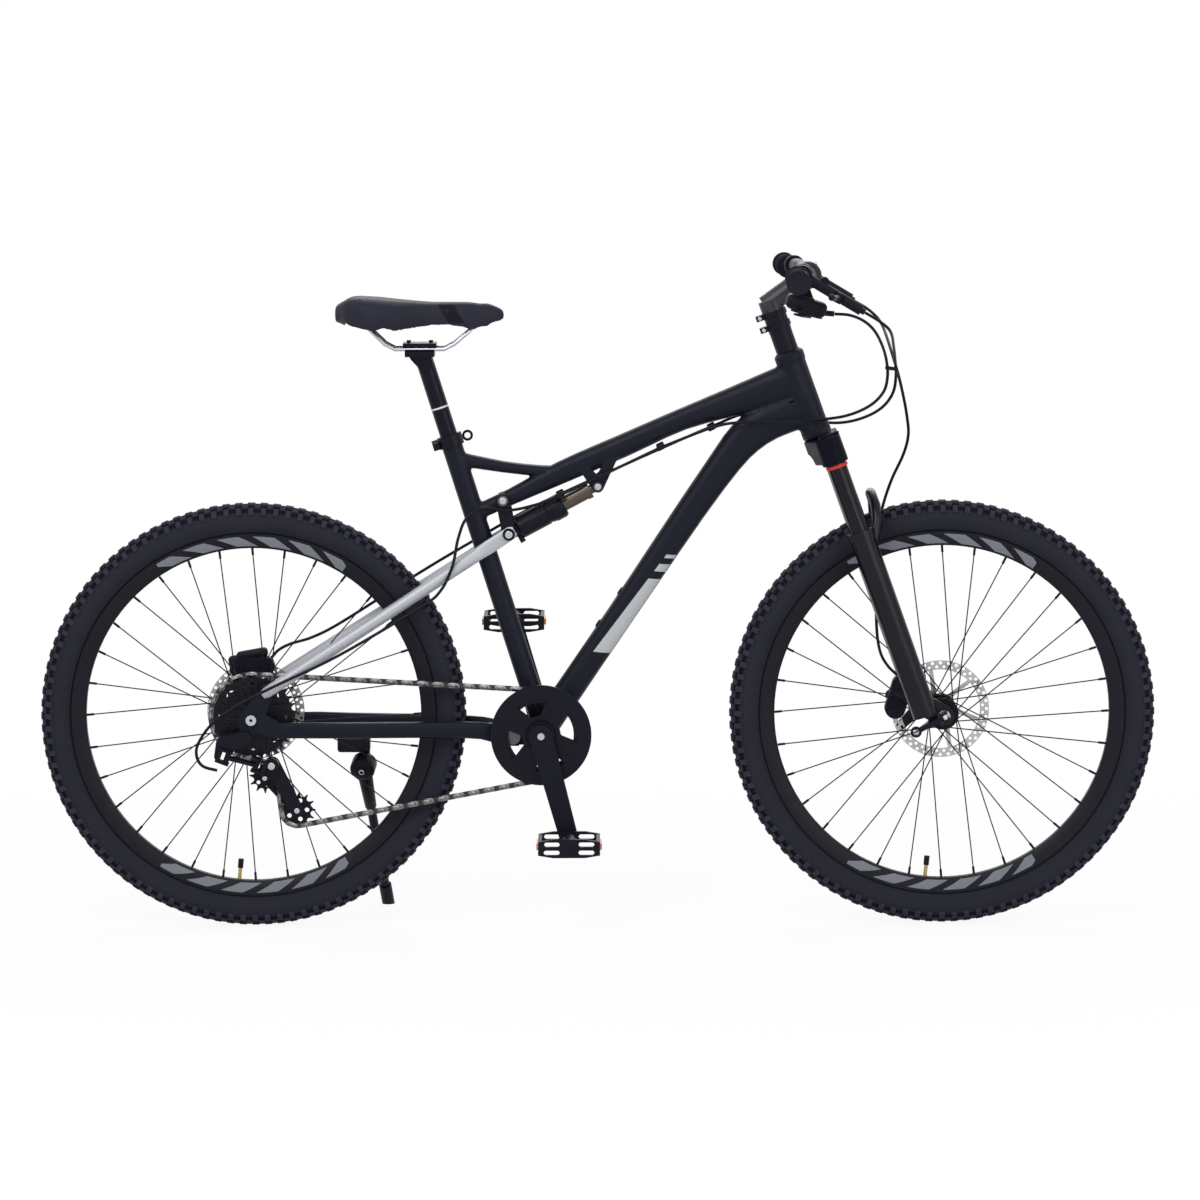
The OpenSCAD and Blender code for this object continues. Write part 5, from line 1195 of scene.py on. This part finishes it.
class BIKE_OT_grips(bpy.types.Operator):
    """Model the ribbed grips"""

    bl_idname = "bike.grips"
    bl_label = "Grips"

    ribs = 21
    rib_pitch = 0.0052

    def execute(self, context):
        radius = context.scene.bike_sizes.grip / 2
        pieces = []
        for side in (-1, 1):
            inner = on_steering(50.7, side * 215, 759.3 + 0.5)
            outer = on_steering(48.0, side * 340, 759.4)
            pieces.append(self.make_grip(inner, outer, radius))
        grips = settle(join(pieces), "ribbed_grips", 40)
        hand_over(grips, "steering", "grip_rubber", ("grips",))
        return {"FINISHED"}

    def make_grip(self, inner, outer, radius):
        """One grip: a sleeve with ribs, an inner collar and a dished end plug."""
        way = (outer - inner).normalized()
        turn = aim(way)
        length = (outer - inner).length + 0.004
        sleeve = add(
            bpy.ops.mesh.primitive_cylinder_add, vertices=40, radius=radius - 0.0012, depth=length,
            location=inner + way * length / 2, rotation=turn)
        pick(sleeve, facing(way), "FACE")
        bpy.ops.mesh.inset(thickness=0.003)
        bpy.ops.transform.translate(value=way * -0.0012)
        object_mode()
        # Reach, rise and thickness of the collar, the end ring and the ribs
        rings = [(0.0025, 0.0, 0.0034), (length - 0.0025, 0.0005, 0.0026)]
        rings += [(0.009 + self.rib_pitch * k, -0.0014, 0.0016) for k in range(self.ribs)]
        parts = [sleeve]
        for reach, rise, thick in rings:
            parts.append(add(
                bpy.ops.mesh.primitive_torus_add, major_radius=radius + rise - 0.0006,
                minor_radius=thick, major_segments=36, minor_segments=8,
                location=inner + way * reach, rotation=turn))
        return join(parts)


# Screws


class BIKE_OT_screws(bpy.types.Operator):
    """Add the socket screws of the stem, rotors, pivots and derailleur"""

    bl_idname = "bike.screws"
    bl_label = "Screws"

    bolt_circle = 0.022

    def execute(self, context):
        left = Vector((0, 1, 0))
        ahead = on_steering(1, 0, 0) - on_steering(0, 0, 0)
        stem = [(on_steering(-25, -11, height), -left, 0.0032) for height in (686.9, 706.9)]
        stem += [
            (on_steering(90, y, 747.4 + rise), ahead, 0.0032) for y in (-17, 17) for rise in (-13, 13)]
        cage = [
            (CAGE_PIVOT - left * 0.056, -left, 0.006), (GUIDE_AXLE - left * 0.037, -left, 0.004),
            (TENSION_AXLE - left * 0.037, -left, 0.0045)]
        rocker = [(SHOCK_FOOT + left * y, left * y, 0.0062) for y in (-0.0319, 0.0319)]
        pivots = [(ROCKER_PIVOT + left * y, left * y, 0.0056) for y in (-0.0246, 0.0246)]
        pivots += [(SHOCK_HEAD + left * y, left * y, 0.005) for y in (-0.0209, 0.0209)]
        stand = [(KICK_PIVOT - KICK_AXIS * 0.0145, -KICK_AXIS, 0.005)]
        # Name, body, finish, and the place, direction and head radius of each screw
        groups = [
            ("stem", "steering", "polished_steel", stem),
            ("cage", "derailleur_cage", "polished_steel", cage),
            ("rocker", "rocker", "polished_steel", rocker),
            ("pivot", "frame", "polished_steel", pivots),
            ("kickstand", "kickstand", "polished_steel", stand),
        ]
        for end, axle in (("front", FRONT_AXLE), ("rear", REAR_AXLE)):
            screws = self.rotor_screws(end, axle)
            groups.append((f"{end}_rotor", f"{end}_wheel", "anodised_black", screws))
        for name, body, finish, places in groups:
            screws = join([self.make_screw(*place) for place in places])
            hand_over(settle(screws, f"{name}_screws", 30), body, finish)
        return {"FINISHED"}

    def rotor_screws(self, end, axle):
        """Places of the six screws that hold a rotor to its hub."""
        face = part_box(f"{end}_rotor")[1][1]
        places = []
        for k in range(6):
            turn = math.radians(20 + 60 * k)
            out = Vector((math.cos(turn), 0, math.sin(turn))) * self.bolt_circle
            places.append((axle + out + Vector((0, face, 0)), Vector((0, 1, 0)), 0.0036))
        return places

    def make_screw(self, place, way, radius):
        """A round head with a chamfer and a round socket, seated on a face."""
        tall = radius * 0.8
        out = way.normalized()
        screw = add(
            bpy.ops.mesh.primitive_cylinder_add, vertices=24, radius=radius, depth=tall,
            location=place + out * tall * 0.45, rotation=aim(way))
        bevel_faces(screw, facing(out), radius * 0.15)
        pick(screw, facing(out, 0.99), "FACE")
        bpy.ops.mesh.inset(thickness=radius * 0.3)
        bpy.ops.mesh.extrude_region_move(TRANSFORM_OT_translate={"value": out * -tall * 0.5})
        object_mode()
        return screw


# Castings


def make_block(place, size, tilt, rounding):
    """A block with rounded edges, tilted nose down by some degrees."""
    block = add(
        bpy.ops.mesh.primitive_cube_add, size=1, location=place, scale=size,
        rotation=(0, math.radians(tilt), 0))
    edit(block)
    bpy.ops.mesh.bevel(offset=rounding, segments=3, affect="EDGES")
    object_mode()
    return block


class BIKE_OT_castings(bpy.types.Operator):
    """Add the kickstand's shoe and head, the shifter's cover and the rear caliper's arm"""

    bl_idname = "bike.castings"
    bl_label = "Castings"

    # Middle, size, tilt in degrees and rounding of each block
    shoe = (
        ((-0.403, 0.076, 0.2905), (0.054, 0.034, 0.029), 0, 0.005),
        ((-0.403, 0.0575, 0.2905), (0.034, 0.006, 0.017), 0, 0.0025))
    cover = (
        ((0.336, -0.148, 1.0215), (0.066, 0.05, 0.024), 17, 0.008),
        ((0.334, -0.16, 1.034), (0.03, 0.016, 0.006), 17, 0.002))
    arm = (
        ((-0.568, 0.053, 0.441), (0.052, 0.02, 0.016), -10, 0.006),
        ((-0.597, 0.053, 0.43), (0.02, 0.022, 0.018), -10, 0.006))

    def execute(self, context):
        shoe = [make_block(*block) for block in self.shoe]
        head = [self.make_head(), self.make_sleeve()]
        cover = [make_block(*block) for block in self.cover]
        arm = [make_block(*block) for block in self.arm]
        pieces = (
            (shoe, "kickstand_shoe", "swingarm", "anodised_black", "black_metal"),
            (head, "kickstand_head", "kickstand", "anodised_black", "black_metal"),
            (cover, "shifter_cover", "steering", "moulded_black", "black_plastic"),
            (arm, "rear_caliper_arm", "swingarm", "moulded_black", "black_metal"),
        )
        for parts, name, body, finish, slot in pieces:
            hand_over(settle(join(parts), name, 40), body, finish)
        return {"FINISHED"}

    def make_head(self):
        """The barrel of the kickstand's hinge, with a raised face at each end."""
        head = add(
            bpy.ops.mesh.primitive_cylinder_add, vertices=48, radius=0.0205, depth=0.026,
            location=KICK_PIVOT, rotation=aim(KICK_AXIS))
        bevel_faces(head, lambda place, normal: abs(normal.dot(KICK_AXIS)) > 0.9, 0.002)
        pick(head, lambda place, normal: abs(normal.dot(KICK_AXIS)) > 0.99, "FACE")
        bpy.ops.mesh.inset(thickness=0.006, use_individual=True)
        bpy.ops.transform.shrink_fatten(value=0.0015)
        object_mode()
        return head

    def make_sleeve(self):
        """The thick upper part of the kickstand's leg."""
        way = (KICK_TIP - KICK_PIVOT).normalized()
        sleeve = add(
            bpy.ops.mesh.primitive_cone_add, vertices=32, radius1=0.0125, radius2=0.0095, depth=0.075,
            location=KICK_PIVOT + way * 0.048, rotation=aim(way))
        bevel_faces(sleeve, lambda place, normal: abs(normal.dot(way)) > 0.9, 0.002)
        return sleeve


# Clips


class BIKE_OT_clips(bpy.types.Operator):
    """Add the clips and ties that hold the hoses"""

    bl_idname = "bike.clips"
    bl_label = "Clips"

    # Places along the top tube in millimetres
    spots = ((187, 817), (104, 785), (6, 738), (-60, 708))
    clip_size = (0.013, 0.012, 0.009)
    tie_size = (0.021, 0.008, 0.006)
    rounding = 0.002

    def execute(self, context):
        clips = []
        for x, z in self.spots:
            for y in (-22.5, 22.5):
                clips.append(make_block(Vector((x, y, z)) * MM, self.clip_size, -26, self.rounding))
        tie = make_block((0.479, -0.025, 0.912), self.tie_size, 8, self.rounding)
        hand_over(settle(join(clips), "hose_clips", 35), "frame", "moulded_black")
        hand_over(settle(tie, "hose_tie", 60), "steering", "moulded_black")
        return {"FINISHED"}


class BIKE_PT_panel(bpy.types.Panel):
    """Lists the steps that dress the bike"""

    bl_label = "Bike"
    bl_space_type = "VIEW_3D"
    bl_region_type = "UI"
    bl_category = "Bike"

    def draw(self, context):
        column = self.layout.column()
        for step in STEPS:
            column.operator(step.bl_idname)
        for group in (context.scene.bike_colours, context.scene.bike_sizes):
            for key in group.__annotations__:
                column.prop(group, key)


STEPS = (
    BIKE_OT_stage, BIKE_OT_hoses, BIKE_OT_solids, BIKE_OT_frame, BIKE_OT_crown, BIKE_OT_tyres,
    BIKE_OT_chain, BIKE_OT_saddle, BIKE_OT_grips, BIKE_OT_screws, BIKE_OT_castings, BIKE_OT_clips)
CLASSES = (BikeColours, BikeSizes, *STEPS, BIKE_PT_panel)


def register():
    for cls in CLASSES:
        bpy.utils.register_class(cls)
    bpy.types.Scene.bike_colours = PointerProperty(type=BikeColours)
    bpy.types.Scene.bike_sizes = PointerProperty(type=BikeSizes)


def unregister():
    del bpy.types.Scene.bike_sizes
    del bpy.types.Scene.bike_colours
    for cls in reversed(CLASSES):
        bpy.utils.unregister_class(cls)


def main():
    register()
    bpy.ops.bike.stage()
    bpy.ops.bike.hoses()
    bpy.ops.bike.solids()
    bpy.ops.bike.frame()
    bpy.ops.bike.crown()
    bpy.ops.bike.tyres()
    bpy.ops.bike.chain()
    bpy.ops.bike.saddle()
    bpy.ops.bike.grips()
    bpy.ops.bike.screws()
    bpy.ops.bike.castings()
    bpy.ops.bike.clips()


if __name__ == "__main__":
    main()
